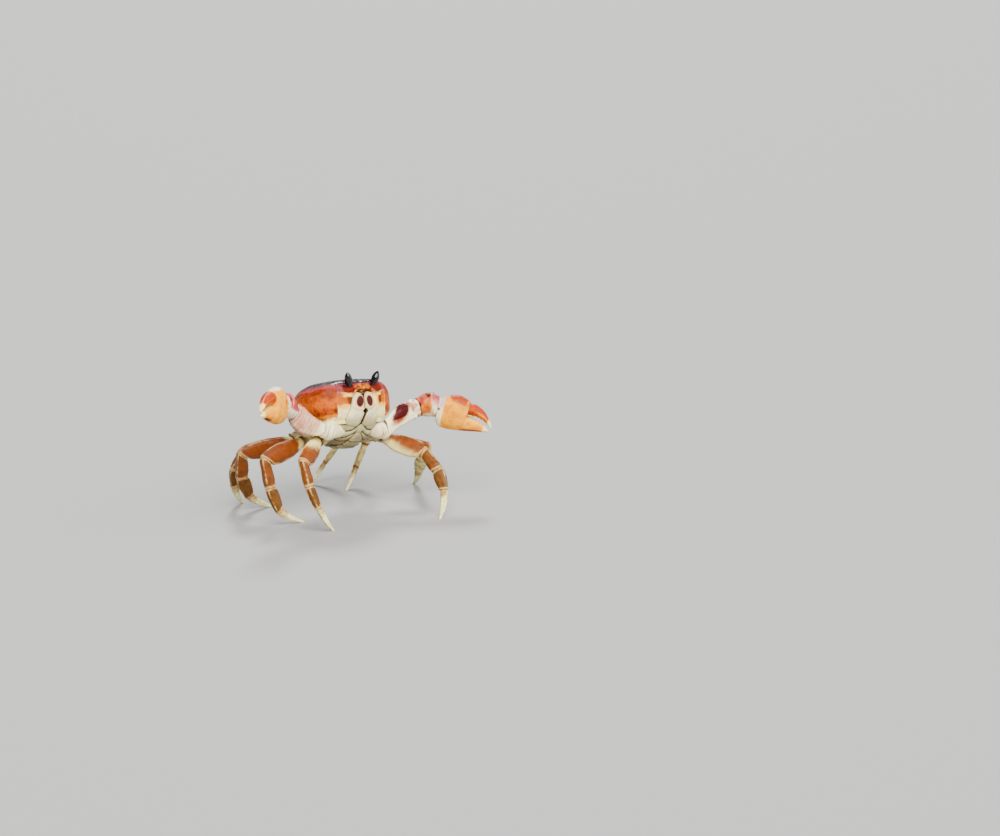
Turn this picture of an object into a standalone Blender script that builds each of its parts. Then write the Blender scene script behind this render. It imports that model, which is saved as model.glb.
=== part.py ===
"""A land crab standing on eight toes with both claws raised, at life size.

The crab faces -Y, its left side is at +X, and the floor is z = 0. Lengths are in
millimetres until a mesh is made, when they are turned into metres. The shell and the
mouth are shaped in the body's own level frame, which is then tilted and raised; the
legs are chains of segments that start at the tilted body and end flat on the floor.
"""

from math import asin, atan2, cos, degrees, pi, radians, sin, sqrt

import bmesh
import bpy
from mathutils import Matrix, Vector

MM = 0.001
GAP = 0.3  # clear space between neighbouring pieces

# The body, in its own frame: x to the crab's left, y to its back, z up
HALF_WIDTH = 24.2
WIDEST_Y = -4.0
FRONT_REACH = 16.0  # from the widest place to the brow
BACK_REACH = 24.0
CROWN = 11.5
BELLY = 20.3
PLAN_SQUARENESS = {"front": 2.8, "back": 2.1}
CROWN_SQUARENESS = {"front": 5.0, "side": 2.25, "back": 1.75}
BELLY_SQUARENESS = {"front": 1.9, "side": 2.6, "back": 1.9}
WAIST = (0.30, -4.0, -13.0)  # narrowing below the side walls, and where it starts and ends
SHELL_EDGE_Z = -10.5  # where the carapace ends and the breastplate begins
BODY_MESH = (28, 16)  # segments round and rings up

# How the body is held
BODY_HEIGHT = 50.5
NOSE_UP = 13.0
LEFT_DOWN = 6.0

# Legs, front pair first; the claws are not counted
LEG_LENGTHS = {  # merus, carpus, propodus, dactyl
    1: (23.5, 12.0, 11.0, 14.5),
    2: (24.5, 13.5, 12.5, 15.5),
    3: (25.0, 14.0, 13.5, 15.0),
    4: (22.5, 12.0, 12.0, 13.5),
}
LEG_ROOTS = {  # where the hip leaves the body
    1: (12.0, -5.2, -14.5),
    2: (13.0, 0.8, -14.8),
    3: (13.0, 6.8, -14.2),
    4: (11.5, 12.4, -13.0),
}
MERUS_STARTS = {
    1: (20.5, -8.0, -17.4),
    2: (24.0, 0.0, -17.2),
    3: (23.5, 7.5, -16.5),
    4: (19.0, 14.5, -15.2),
}
LEG_SIZES = {1: 1.0, 2: 1.0, 3: 1.05, 4: 0.92}
LEG_POSE = {  # degrees: heading forwards, roll, and the bends at knee, ankle and toe
    ("left", 1): (70, 31, 29, 18, 27),
    ("left", 2): (44, -48, 94, -2, 3),
    ("left", 3): (-40, -21, 92, 29, 27),
    ("left", 4): (-48, -35, 73, 17, 15),
    ("right", 1): (33, 23, 61, 19, 23),
    ("right", 2): (5, 13, 82, 14, 45),
    ("right", 3): (-24, -24, 85, 19, 34),
    ("right", 4): (-26, -30, 63, 22, 21),
}
TOE_TIP = 0.38  # radius of a toe's blunt tip, which the floor cuts flat

# Claws
CLAW_ROOT = (10.5, -11.8, -12.3)
CLAW_MERUS_START = (20.0, -14.8, -13.8)
CLAW_LENGTHS = (19.2, 9.5)  # merus and carpus
CLAW_POSE = {  # degrees: heading forwards and rise of merus, carpus and hand
    "left": ((2, 24), (40, 1), (48, -25)),
    "right": ((-32, 35), (8, 32), (30, 1)),
}
CLAW_ROLL = {"left": 0.0, "right": 70.0}  # degrees that the wrist segment turns about itself
CLAW_BOW = {"left": 2.0, "right": -2.2}  # how far the middle of the merus stands above its ends

# Cross sections: place as a share of the segment, bottom, top and half width
HIP = ((-0.15, -2.8, 2.8, 2.5), (0.5, -3.3, 3.2, 2.7), (1.0, -2.6, 2.9, 2.4))
MERUS = (
    (0.0, -2.4, 2.5, 2.0),
    (0.14, -3.3, 2.9, 2.2),
    (0.38, -4.7, 3.9, 2.4),
    (0.64, -4.9, 4.4, 2.4),
    (0.86, -3.9, 3.7, 2.3),
    (1.0, -2.9, 3.0, 2.2),
)
CARPUS = ((0.0, -2.4, 2.6, 2.2), (0.35, -2.7, 2.7, 2.3), (0.75, -3.1, 2.9, 2.4), (1.0, -2.8, 2.7, 2.2))
PROPODUS = ((0.0, -2.7, 2.7, 1.8), (0.35, -3.2, 3.1, 1.8), (0.75, -2.7, 2.6, 1.6), (1.0, -2.1, 2.1, 1.4))
DACTYL = (
    (0.0, -1.9, 1.9, 1.3),
    (0.3, -1.3, 2.1, 1.2),
    (0.6, -0.6, 1.9, 0.9),
    (0.85, -0.3, 1.1, 0.6),
    (1.04, -TOE_TIP, TOE_TIP, TOE_TIP),
)
CLAW_BASE = ((-0.1, -3.6, 3.5, 3.1), (0.5, -4.2, 4.0, 3.5), (1.0, -3.4, 3.7, 3.0))
CLAW_MERUS = (
    (0.0, -3.0, 3.8, 3.0),
    (0.2, -3.7, 5.0, 3.3),
    (0.55, -5.2, 5.9, 3.9),
    (0.85, -4.9, 5.4, 3.8),
    (1.0, -4.2, 4.6, 3.5),
)
CLAW_CARPUS = ((0.0, -3.8, 5.2, 3.6), (0.4, -4.4, 7.2, 4.6), (0.75, -4.6, 7.4, 4.6), (1.0, -4.4, 5.8, 4.0))
# The hand and its moving finger: millimetres from the wrist towards the fixed finger's tip
HAND = (
    (0.0, -4.8, 5.2, 3.6),
    (1.8, -6.6, 6.8, 4.2),
    (4.5, -8.2, 9.0, 4.6),
    (8.0, -7.9, 10.2, 4.8),
    (12.0, -6.6, 10.0, 4.5),
    (14.2, -5.8, 9.0, 4.1),
    (14.4, -5.6, 2.6, 3.5),
    (18.0, -4.3, 2.5, 2.8),
    (21.5, -2.8, 2.0, 2.1),
    (25.0, -1.4, 1.2, 1.3),
    (26.8, -0.6, 0.5, 0.5),
)
FINGER = (
    (14.65, 3.1, 9.0, 3.0),
    (16.4, 3.7, 9.9, 3.3),
    (19.0, 4.2, 9.6, 3.0),
    (22.0, 4.1, 8.3, 2.4),
    (24.8, 3.3, 6.2, 1.7),
    (26.6, 2.5, 4.3, 1.0),
    (27.6, 1.9, 2.8, 0.5),
)
DOME = ((1.1, 0.35), (0.75, 0.78))  # how far out and how large the rings of a domed end are
LEG_SIDES = 10
CLAW_SIDES = 10
SHARP_EDGE = 50.0  # degrees between faces, above which an edge is shaded sharp

# Face and belly
EYE_BASE = (7.0, -18.7, 7.0)
EYE_LEAN = (0.33, -0.28, 0.90)
EYE_SIDES = 10
EYE = (  # place along the stalk in millimetres, bottom, top and half width
    (0.0, -1.2, 1.2, 1.2),
    (1.5, -1.4, 1.4, 1.4),
    (3.0, -1.8, 1.8, 1.7),
    (4.6, -1.9, 1.9, 1.8),
    (6.2, -1.7, 1.7, 1.6),
    (7.4, -1.1, 1.1, 1.1),
    (8.0, -0.5, 0.5, 0.5),
)
ORBIT_CENTRE = (7.9, -19.7, 8.6)
ORBIT_RADII = (3.4, 3.0, 3.2)
ORBIT_MESH = (12, 8)
MAXILLIPED = (  # height, front face, inner and outer edge, from the mouth's top down
    (4.2, -20.3, 2.2, 4.6),
    (3.0, -20.9, 0.9, 5.8),
    (0.5, -21.1, 0.4, 6.7),
    (-2.5, -20.9, 0.5, 7.7),
    (-5.5, -20.3, 0.6, 9.0),
    (-8.0, -19.5, 0.6, 9.8),
    (-10.0, -18.6, 0.8, 9.3),
    (-11.2, -17.8, 1.8, 7.0),
)
MAXILLIPED_THICKNESS = 2.4
MAXILLIPED_SIDES = 10
MAXILLIPED_TURN = 8.0  # degrees, outer edge back
ABDOMEN_SIDES = 10
ABDOMEN = (  # degrees behind straight down, half width and half thickness, tail tip first
    (-42, 1.3, 0.7),
    (-33, 3.2, 1.0),
    (-18, 4.8, 1.1),
    (2, 6.0, 1.1),
    (22, 6.4, 1.1),
    (40, 6.2, 1.1),
    (56, 5.6, 1.0),
    (70, 4.8, 0.8),
)
ANTENNA = ((4.5, -20.6, 5.6), (5.5, -21.2, 5.4), (6.6, -21.4, 4.7), (7.4, -21.2, 3.7))
ANTENNA_RADII = (0.55, 0.45, 0.35, 0.28)
ANTENNA_SIDES = 6

COLOURS = {  # colour and roughness of each finish
    "carapace": ((0.55, 0.13, 0.04), 0.35),
    "belly": ((0.72, 0.66, 0.48), 0.5),
    "mouth": ((0.76, 0.72, 0.58), 0.45),
    "eye": ((0.01, 0.01, 0.015), 0.08),
    "claw": ((0.85, 0.42, 0.12), 0.35),
    "leg": ((0.55, 0.22, 0.06), 0.4),
    "toe": ((0.80, 0.72, 0.45), 0.5),
}


def finish(name):
    """The named Principled material, made on first use."""
    material = bpy.data.materials.get(name)
    if material is None:
        colour, roughness = COLOURS[name]
        material = bpy.data.materials.new(name)
        material.use_nodes = True
        shader = material.node_tree.nodes["Principled BSDF"]
        shader.inputs["Base Color"].default_value = (*colour, 1.0)
        shader.inputs["Roughness"].default_value = roughness
        shader.inputs["Metallic"].default_value = 0.0
    return material


def add_object(name, bm, material, frame, parent, collection):
    """Turn a mesh in millimetres into an object in metres, placed by its frame."""
    bmesh.ops.scale(bm, vec=(MM, MM, MM), verts=bm.verts)
    bmesh.ops.recalc_face_normals(bm, faces=bm.faces)
    mesh = bpy.data.meshes.new(name)
    bm.to_mesh(mesh)
    bm.free()
    mesh.shade_smooth()
    mesh.set_sharp_from_angle(angle=radians(SHARP_EDGE))
    mesh.materials.append(finish(material))
    placed = bpy.data.objects.new(name, mesh)
    collection.objects.link(placed)
    placed.parent = parent
    where = frame.copy()
    where.translation *= MM
    placed.matrix_local = where
    return placed


def ringed_tube(rings, sides):
    """A closed unit tube along X, with a ring of points at each whole number."""
    bm = bmesh.new()
    turn = Matrix.Rotation(pi / 2, 4, "Y")
    bmesh.ops.create_circle(bm, segments=sides, radius=1.0, matrix=turn)
    first = rim = bm.edges[:]
    for _ in range(rings - 1):
        grown = bmesh.ops.extrude_edge_only(bm, edges=rim)["geom"]
        rim = [item for item in grown if isinstance(item, bmesh.types.BMEdge)]
        moved = [item for item in grown if isinstance(item, bmesh.types.BMVert)]
        bmesh.ops.translate(bm, vec=(1.0, 0.0, 0.0), verts=moved)
    bmesh.ops.edgeloop_fill(bm, edges=first)
    bmesh.ops.edgeloop_fill(bm, edges=rim)
    return bm


def loft(sections, sides, grow=0.0):
    """A closed body along X through oval sections (x, bottom, top, half width)."""
    bm = ringed_tube(len(sections), sides)
    last = len(sections) - 1
    for vert in bm.verts:
        index = round(vert.co.x)
        x, bottom, top, half_width = sections[index]
        x += grow * ((index == last) - (index == 0))
        middle = (top + bottom) / 2
        half_height = (top - bottom) / 2 + grow
        vert.co = (x, vert.co.y * (half_width + grow), middle + vert.co.z * half_height)
    return bm


def scaled(sections, length, size):
    """Sections whose place is a share of the length, with domed ends past both joints."""
    rings = [(x * length, low * size, high * size, half * size) for x, low, high, half in sections]
    first, last = rings[0], rings[-1]
    start = [(first[0] - first[3] * out, *[v * share for v in first[1:]]) for out, share in DOME]
    end = [(last[0] + last[3] * out, *[v * share for v in last[1:]]) for out, share in reversed(DOME)]
    return start + rings + end


def bowed(rings, length, height):
    """Sections raised along an arc whose middle stands above its ends."""
    lifts = [height * 4 * (ring[0] / length) * (1 - ring[0] / length) for ring in rings]
    return [(x, low + lift, high + lift, half) for (x, low, high, half), lift in zip(rings, lifts)]


def cut(bm, frame, point, normal):
    """Cut off what lies past a plane that is given in the frame's parent space."""
    inverse = frame.inverted()
    local_normal = inverse.to_3x3() @ normal
    geometry = bm.verts[:] + bm.edges[:] + bm.faces[:]
    result = bmesh.ops.bisect_plane(
        bm, geom=geometry, dist=1e-5, plane_co=inverse @ point, plane_no=local_normal, clear_outer=True
    )
    rim = [item for item in result["geom_cut"] if isinstance(item, bmesh.types.BMEdge)]
    if rim:
        bmesh.ops.edgeloop_fill(bm, edges=rim)


def frame_along(origin, forward, up):
    """A frame with x along a segment and z as near to up as it can be."""
    x = forward.normalized()
    y = up.cross(x).normalized()
    z = x.cross(y)
    frame = Matrix((x, y, z)).transposed().to_4x4()
    frame.translation = origin
    return frame


def body_frame():
    """The tilted and raised frame in which the body is level."""
    roll = Matrix.Rotation(radians(LEFT_DOWN), 4, "Y")
    pitch = Matrix.Rotation(radians(-NOSE_UP), 4, "X")
    return Matrix.Translation((0.0, 0.0, BODY_HEIGHT)) @ roll @ pitch


def side_sign(side):
    return 1.0 if side == "left" else -1.0


def mirrored(place, side):
    """A place on the crab's left, or its mirror image on the right."""
    return Vector((place[0] * side_sign(side), place[1], place[2]))


def power(value, exponent):
    return abs(value) ** exponent * (1.0 if value >= 0.0 else -1.0)


def body_point(direction):
    """The body's surface where a point of the unit sphere lands on it."""
    longitude = atan2(direction.y, direction.x)
    latitude = asin(max(-1.0, min(1.0, direction.z)))
    front = max(0.0, -sin(longitude)) ** 2
    back = max(0.0, sin(longitude)) ** 2
    squareness = CROWN_SQUARENESS if latitude > 0.0 else BELLY_SQUARENESS
    upright = front * squareness["front"] + back * squareness["back"]
    upright += (1.0 - front - back) * squareness["side"]
    spread = abs(cos(latitude)) ** (2.0 / upright)
    height = power(sin(latitude), 2.0 / upright) * (CROWN if latitude > 0.0 else BELLY)
    end = "front" if direction.y < 0.0 else "back"
    reach = FRONT_REACH if end == "front" else BACK_REACH
    plan = 2.0 / PLAN_SQUARENESS[end]
    amount, start, finish_z = WAIST
    below = max(0.0, min(1.0, (height - start) / (finish_z - start)))
    waist = 1.0 - amount * below * below * (3.0 - 2.0 * below)
    x = HALF_WIDTH * power(cos(longitude), plan) * spread * waist
    y = WIDEST_Y + reach * power(sin(longitude), plan) * spread
    return Vector((x, y, height))


def body_mesh():
    """The whole body, before it is parted and hollowed for its neighbours."""
    bm = bmesh.new()
    segments, rings = BODY_MESH
    bmesh.ops.create_uvsphere(bm, u_segments=segments, v_segments=rings, radius=1.0)
    for vert in bm.verts:
        vert.co = body_point(vert.co.normalized())
    return bm


def upper_body():
    bm = body_mesh()
    cut(bm, Matrix(), Vector((0.0, 0.0, SHELL_EDGE_Z + GAP / 2)), Vector((0.0, 0.0, -1.0)))
    return bm


def lower_body():
    bm = body_mesh()
    cut(bm, Matrix(), Vector((0.0, 0.0, SHELL_EDGE_Z - GAP / 2)), Vector((0.0, 0.0, 1.0)))
    return bm


def ellipsoid(centre, radii, mesh_size, turn=Matrix()):
    segments, rings = mesh_size
    bm = bmesh.new()
    bmesh.ops.create_uvsphere(bm, u_segments=segments, v_segments=rings, radius=1.0)
    bmesh.ops.scale(bm, vec=radii, verts=bm.verts)
    bmesh.ops.transform(bm, matrix=Matrix.Translation(centre) @ turn, verts=bm.verts)
    return bm


def orbit(side):
    return ellipsoid(mirrored(ORBIT_CENTRE, side), ORBIT_RADII, ORBIT_MESH)


def eye_frame(side):
    lean = mirrored(EYE_LEAN, side)
    return frame_along(mirrored(EYE_BASE, side), lean, Vector((0.0, -1.0, 0.0)))


def maxilliped(side, grow=0.0):
    """One of the two plates that close the mouth: it widens downwards beside the midline."""
    bm = ringed_tube(len(MAXILLIPED), MAXILLIPED_SIDES)
    last = len(MAXILLIPED) - 1
    back = sin(radians(MAXILLIPED_TURN))
    for vert in bm.verts:
        index = round(vert.co.x)
        height, front, inner, outer = MAXILLIPED[index]
        height += grow * ((index == 0) - (index == last))
        across = vert.co.y * ((outer - inner) / 2 + grow)
        depth = vert.co.z * (MAXILLIPED_THICKNESS / 2 + grow)
        middle = front + MAXILLIPED_THICKNESS / 2
        x = (inner + outer) / 2 + across
        vert.co = mirrored((x, middle + depth + across * back, height), side)
    return bm


def abdomen(grow=0.0):
    """The tail folded under the body: a flat oval band that follows the belly's middle."""
    angles = [radians(station[0]) for station in ABDOMEN]
    points = [body_point(Vector((0.0, sin(angle), -cos(angle)))) for angle in angles]
    bm = ringed_tube(len(points), ABDOMEN_SIDES)
    last = len(points) - 1
    for vert in bm.verts:
        index = round(vert.co.x)
        half_width, half_thickness = ABDOMEN[index][1:]
        along = (points[min(index + 1, last)] - points[max(index - 1, 0)]).normalized()
        across = Vector((0.0, -along.z, along.y))
        middle = points[index] + along * grow * ((index == last) - (index == 0))
        wide = Vector((vert.co.y * (half_width + grow), 0.0, 0.0))
        vert.co = middle + wide + across * vert.co.z * (half_thickness + grow)
    return bm


def antenna(side):
    """A short feeler that curves out and down from beside the brow."""
    points = [mirrored(place, side) for place in ANTENNA]
    bm = ringed_tube(len(points), ANTENNA_SIDES)
    last = len(points) - 1
    for vert in bm.verts:
        index = round(vert.co.x)
        along = points[min(index + 1, last)] - points[max(index - 1, 0)]
        frame = frame_along(points[index], along, Vector((0.0, 0.0, 1.0)))
        radius = ANTENNA_RADII[index]
        vert.co = frame @ Vector((0.0, vert.co.y * radius, vert.co.z * radius))
    return bm


def heading_vector(side, heading, rise):
    """A direction out to the side, turned forwards by heading and up by rise."""
    turn, lift = radians(heading), radians(rise)
    return Vector((side_sign(side) * cos(turn) * cos(lift), -sin(turn) * cos(lift), sin(lift)))


def leg_directions(side, pair, start_height):
    """Direction and back of each segment, with the leg lifted so its toe meets the floor."""
    heading, roll, *bends = LEG_POSE[side, pair]
    turned = radians(roll)
    angles = [radians(sum(bends[:count])) for count in range(4)]
    lengths = LEG_LENGTHS[pair]
    along = sum(length * cos(angle) for length, angle in zip(lengths, angles))
    down = sum(length * sin(angle) for length, angle in zip(lengths, angles)) * cos(turned)
    drop = -start_height
    lift = asin(drop / sqrt(along**2 + down**2)) + atan2(down, along)
    forward = heading_vector(side, heading, degrees(lift))
    outward = heading_vector(side, heading, 0.0)
    upright = Vector((0.0, 0.0, 1.0)) * cos(lift) - outward * sin(lift)
    ahead = heading_vector(side, heading + 90, 0.0)
    back = upright * cos(turned) - ahead * sin(turned)
    return [
        (forward * cos(angle) - back * sin(angle), back * cos(angle) + forward * sin(angle))
        for angle in angles
    ]


def add_segment(name, sections, frame, planes, material, sides, parent, collection):
    """One segment, cut off by the planes where it meets its neighbours or the floor."""
    bm = loft(sections, sides)
    for point, normal in planes:
        cut(bm, frame, point, normal)
    return add_object(name, bm, material, frame, parent, collection)


def joint_plane(point, before, after):
    """The plane that halves the bend between two segments."""
    return point, (before.normalized() + after.normalized()).normalized()


def start_cut(joint):
    point, normal = joint
    return point + normal * GAP / 2, -normal


def end_cut(joint):
    point, normal = joint
    return point - normal * GAP / 2, normal


def hip_parts(root, start, up, sections):
    """The frame, and the sections, of a hip that begins inside the body."""
    length = (start - root).length
    frame = frame_along(root, start - root, up)
    rings = scaled(sections, length, 1.0)
    return frame, rings


def build_leg(side, pair, body, crab, collection):
    """A hip in the body and four segments down to the floor; returns the hip's socket."""
    root = body @ mirrored(LEG_ROOTS[pair], side)
    start = body @ mirrored(MERUS_STARTS[pair], side)
    directions = leg_directions(side, pair, start.z)
    size = LEG_SIZES[pair]
    hip_frame, hip_rings = hip_parts(root, start, directions[0][1], HIP)
    joint = joint_plane(start, start - root, directions[0][0])
    name = f"leg_{side}_{pair}"
    add_segment(f"{name}_hip", hip_rings, hip_frame, [end_cut(joint)], "leg", LEG_SIDES, crab, collection)
    point = start
    shapes = (("merus", MERUS), ("carpus", CARPUS), ("propodus", PROPODUS), ("dactyl", DACTYL))
    for index, (part, sections) in enumerate(shapes):
        forward, back = directions[index]
        length = LEG_LENGTHS[pair][index]
        planes = [start_cut(joint)]
        point = point + forward * length
        if part == "dactyl":
            planes.append((Vector((0.0, 0.0, 0.0)), Vector((0.0, 0.0, -1.0))))
        else:
            joint = joint_plane(point, forward, directions[index + 1][0])
            planes.append(end_cut(joint))
        frame = frame_along(point - forward * length, forward, back)
        rings = scaled(sections, length, size)
        if part == "dactyl":
            rings = rings[: -len(DOME)]
        material = "toe" if part == "dactyl" else "leg"
        add_segment(f"{name}_{part}", rings, frame, planes, material, LEG_SIDES, crab, collection)
    return loft(hip_rings, LEG_SIDES, GAP), hip_frame


def build_claw(side, body, crab, collection):
    """A base in the body, an arm of two segments and a hand with one moving finger."""
    root = body @ mirrored(CLAW_ROOT, side)
    start = body @ mirrored(CLAW_MERUS_START, side)
    up = Vector((0.0, 0.0, 1.0))
    merus, carpus, hand = [heading_vector(side, *angles) for angles in CLAW_POSE[side]]
    elbow = start + merus * CLAW_LENGTHS[0]
    wrist = elbow + carpus * CLAW_LENGTHS[1]
    joints = [
        joint_plane(start, start - root, merus),
        joint_plane(elbow, merus, carpus),
        joint_plane(wrist, carpus, hand),
    ]
    name = f"claw_{side}"
    base_frame, base_rings = hip_parts(root, start, up, CLAW_BASE)
    planes = [end_cut(joints[0])]
    add_segment(f"{name}_base", base_rings, base_frame, planes, "belly", CLAW_SIDES, crab, collection)
    rings = bowed(scaled(CLAW_MERUS, CLAW_LENGTHS[0], 1.0), CLAW_LENGTHS[0], CLAW_BOW[side])
    planes = [start_cut(joints[0]), end_cut(joints[1])]
    frame = frame_along(start, merus, up)
    add_segment(f"{name}_merus", rings, frame, planes, "claw", CLAW_SIDES, crab, collection)
    rings = scaled(CLAW_CARPUS, CLAW_LENGTHS[1], 1.0)
    planes = [start_cut(joints[1]), end_cut(joints[2])]
    frame = frame_along(elbow, carpus, up) @ Matrix.Rotation(radians(CLAW_ROLL[side]), 4, "X")
    add_segment(f"{name}_carpus", rings, frame, planes, "claw", CLAW_SIDES, crab, collection)
    frame = frame_along(wrist, hand, up)
    rings = scaled(HAND, 1.0, 1.0)[: -len(DOME)]
    planes = [start_cut(joints[2])]
    add_segment(f"{name}_hand", rings, frame, planes, "claw", CLAW_SIDES, crab, collection)
    add_segment(f"{name}_finger", FINGER, frame, [], "claw", CLAW_SIDES, crab, collection)
    return loft(base_rings, CLAW_SIDES, GAP), base_frame


def hollow(target, cutter):
    """Cut a neighbour's place out of a piece of the body."""
    modifier = target.modifiers.new(cutter.name, "BOOLEAN")
    modifier.operation = "DIFFERENCE"
    modifier.solver = "EXACT"
    modifier.object = cutter


def centre_on_floor(crab, parts):
    """Move the crab so that its box stands with its middle on the origin."""
    bpy.context.view_layer.update()
    corners = [part.matrix_world @ vert.co for part in parts for vert in part.data.vertices]
    for axis in (0, 1):
        values = [corner[axis] for corner in corners]
        crab.location[axis] = -(min(values) + max(values)) / 2
    bpy.context.view_layer.update()


def main():
    for item in list(bpy.data.objects):
        bpy.data.objects.remove(item, do_unlink=True)
    parts = bpy.data.collections.new("land_crab")
    cutters = bpy.data.collections.new("cutters")
    for collection in (parts, cutters):
        bpy.context.scene.collection.children.link(collection)
    crab = bpy.data.objects.new("crab", None)
    parts.objects.link(crab)
    body = body_frame()

    sockets = []
    for side in ("left", "right"):
        sockets.append((f"claw_{side}", *build_claw(side, body, crab, parts)))
        for pair in (1, 2, 3, 4):
            sockets.append((f"leg_{side}_{pair}", *build_leg(side, pair, body, crab, parts)))
        eye = body @ eye_frame(side)
        add_segment(f"eye_{side}", EYE, eye, [], "eye", EYE_SIDES, crab, parts)
        add_object(f"maxilliped_{side}", maxilliped(side), "mouth", body, crab, parts)
        add_object(f"antenna_{side}", antenna(side), "mouth", body, crab, parts)
        sockets.append((f"orbit_{side}", orbit(side), body))
        sockets.append((f"mouth_{side}", maxilliped(side, GAP), body))
    add_object("abdomen", abdomen(), "belly", body, crab, parts)
    sockets.append(("abdomen", abdomen(GAP), body))

    carapace = add_object("carapace", upper_body(), "carapace", body, crab, parts)
    sternum = add_object("sternum", lower_body(), "belly", body, crab, parts)
    for name, bm, frame in sockets:
        cutter = add_object(f"cut_{name}", bm, "belly", frame, crab, cutters)
        cutter.hide_render = True
        cutter.display_type = "WIRE"
        for target in (carapace, sternum):
            hollow(target, cutter)
    solids = [item for item in parts.objects if item.type == "MESH"]
    centre_on_floor(crab, solids)


main()
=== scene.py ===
"""A life-size land crab on its toes, claws held up: the looks of the museum model.

Pieces are shaped in millimetres in the body's own level frame, or in the frame of one
leg or claw segment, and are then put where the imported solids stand.
"""

from collections import namedtuple
from math import asin, atan2, cos, degrees, pi, radians, sin, sqrt

import bmesh
import bpy
import numpy as np
from mathutils import Matrix, Vector


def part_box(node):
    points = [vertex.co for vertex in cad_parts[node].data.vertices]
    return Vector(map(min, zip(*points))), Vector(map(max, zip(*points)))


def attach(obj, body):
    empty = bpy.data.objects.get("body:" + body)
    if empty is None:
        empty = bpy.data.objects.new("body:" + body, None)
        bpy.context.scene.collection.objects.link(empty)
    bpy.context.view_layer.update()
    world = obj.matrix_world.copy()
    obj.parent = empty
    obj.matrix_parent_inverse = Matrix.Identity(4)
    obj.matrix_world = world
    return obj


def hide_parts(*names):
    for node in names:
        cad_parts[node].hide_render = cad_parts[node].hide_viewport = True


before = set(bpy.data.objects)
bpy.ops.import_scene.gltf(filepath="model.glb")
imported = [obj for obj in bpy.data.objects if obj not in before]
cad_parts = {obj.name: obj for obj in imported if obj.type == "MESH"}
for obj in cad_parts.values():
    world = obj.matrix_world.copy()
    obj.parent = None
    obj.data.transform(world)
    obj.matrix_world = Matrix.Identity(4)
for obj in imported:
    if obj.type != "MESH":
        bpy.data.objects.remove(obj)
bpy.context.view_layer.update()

MM = 0.001
GAP = 0.3  # between neighbouring pieces of shell
SIDES = ("left", "right")

# The body, in its own frame: x to the crab's left, y to its back, z up
HALF_WIDTH = 24.2
WIDEST_Y = -4.0
FRONT_REACH = 16.0
BACK_REACH = 24.0
CROWN = 11.5
BELLY = 20.3
PLAN_SQUARENESS = {"front": 2.8, "back": 2.1}
CROWN_SQUARENESS = {"front": 5.0, "side": 2.25, "back": 1.75}
BELLY_SQUARENESS = {"front": 1.9, "side": 2.6, "back": 1.9}
WAIST = (0.30, -4.0, -13.0)
SHELL_EDGE_Z = -10.5
BODY_HEIGHT = 50.5
NOSE_UP = 13.0
LEFT_DOWN = 6.0

# Legs, front pair first
LEG_LENGTHS = {
    1: (23.5, 12.0, 11.0, 14.5),
    2: (24.5, 13.5, 12.5, 15.5),
    3: (25.0, 14.0, 13.5, 15.0),
    4: (22.5, 12.0, 12.0, 13.5),
}
LEG_ROOTS = {
    1: (12.0, -5.2, -14.5),
    2: (13.0, 0.8, -14.8),
    3: (13.0, 6.8, -14.2),
    4: (11.5, 12.4, -13.0),
}
MERUS_STARTS = {
    1: (20.5, -8.0, -17.4),
    2: (24.0, 0.0, -17.2),
    3: (23.5, 7.5, -16.5),
    4: (19.0, 14.5, -15.2),
}
LEG_SIZES = {1: 1.0, 2: 1.0, 3: 1.05, 4: 0.92}
LEG_POSE = {  # heading, roll and the bend of each segment, in degrees
    ("left", 1): (70, 31, 29, 18, 27),
    ("left", 2): (44, -48, 94, -2, 3),
    ("left", 3): (-40, -21, 92, 29, 27),
    ("left", 4): (-48, -35, 73, 17, 15),
    ("right", 1): (33, 23, 61, 19, 23),
    ("right", 2): (5, 13, 82, 14, 45),
    ("right", 3): (-24, -24, 85, 19, 34),
    ("right", 4): (-26, -30, 63, 22, 21),
}
TOE_TIP = 0.38

CLAW_ROOT = (10.5, -11.8, -12.3)
CLAW_MERUS_START = (20.0, -14.8, -13.8)
CLAW_LENGTHS = (19.2, 9.5)
CLAW_POSE = {  # heading and lift of merus, carpus and hand, in degrees
    "left": ((2, 24), (40, 1), (48, -25)),
    "right": ((-32, 35), (8, 32), (30, 1)),
}
CLAW_ROLL = {"left": 0.0, "right": 70.0}
CLAW_BOW = {"left": 2.0, "right": -2.2}
CLAW_BASE_REACH = {"left": -3.4, "right": 2.6}  # how far the base's shell runs out along the merus

# Cross sections: place as a share of the segment, bottom, top and half width
HIP = ((-0.15, -2.8, 2.8, 2.5), (0.5, -3.3, 3.2, 2.7), (1.0, -2.6, 2.9, 2.4))
MERUS = (
    (0.0, -2.4, 2.5, 2.0),
    (0.14, -3.3, 2.9, 2.2),
    (0.38, -4.7, 3.9, 2.4),
    (0.64, -4.9, 4.4, 2.4),
    (0.86, -3.9, 3.7, 2.3),
    (1.0, -2.9, 3.0, 2.2),
)
CARPUS = ((0.0, -2.4, 2.6, 2.2), (0.35, -2.7, 2.7, 2.3), (0.75, -3.1, 2.9, 2.4), (1.0, -2.8, 2.7, 2.2))
PROPODUS = ((0.0, -2.7, 2.7, 1.8), (0.35, -3.2, 3.1, 1.8), (0.75, -2.7, 2.6, 1.6), (1.0, -2.1, 2.1, 1.4))
DACTYL = (
    (0.0, -1.9, 1.9, 1.3),
    (0.3, -1.3, 2.1, 1.2),
    (0.6, -0.6, 1.9, 0.9),
    (0.85, -0.3, 1.1, 0.6),
    (1.04, -TOE_TIP, TOE_TIP, TOE_TIP),
)
CLAW_BASE = ((-0.1, -3.6, 3.5, 3.1), (0.5, -4.2, 4.0, 3.5), (1.0, -3.4, 3.7, 3.0))
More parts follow.
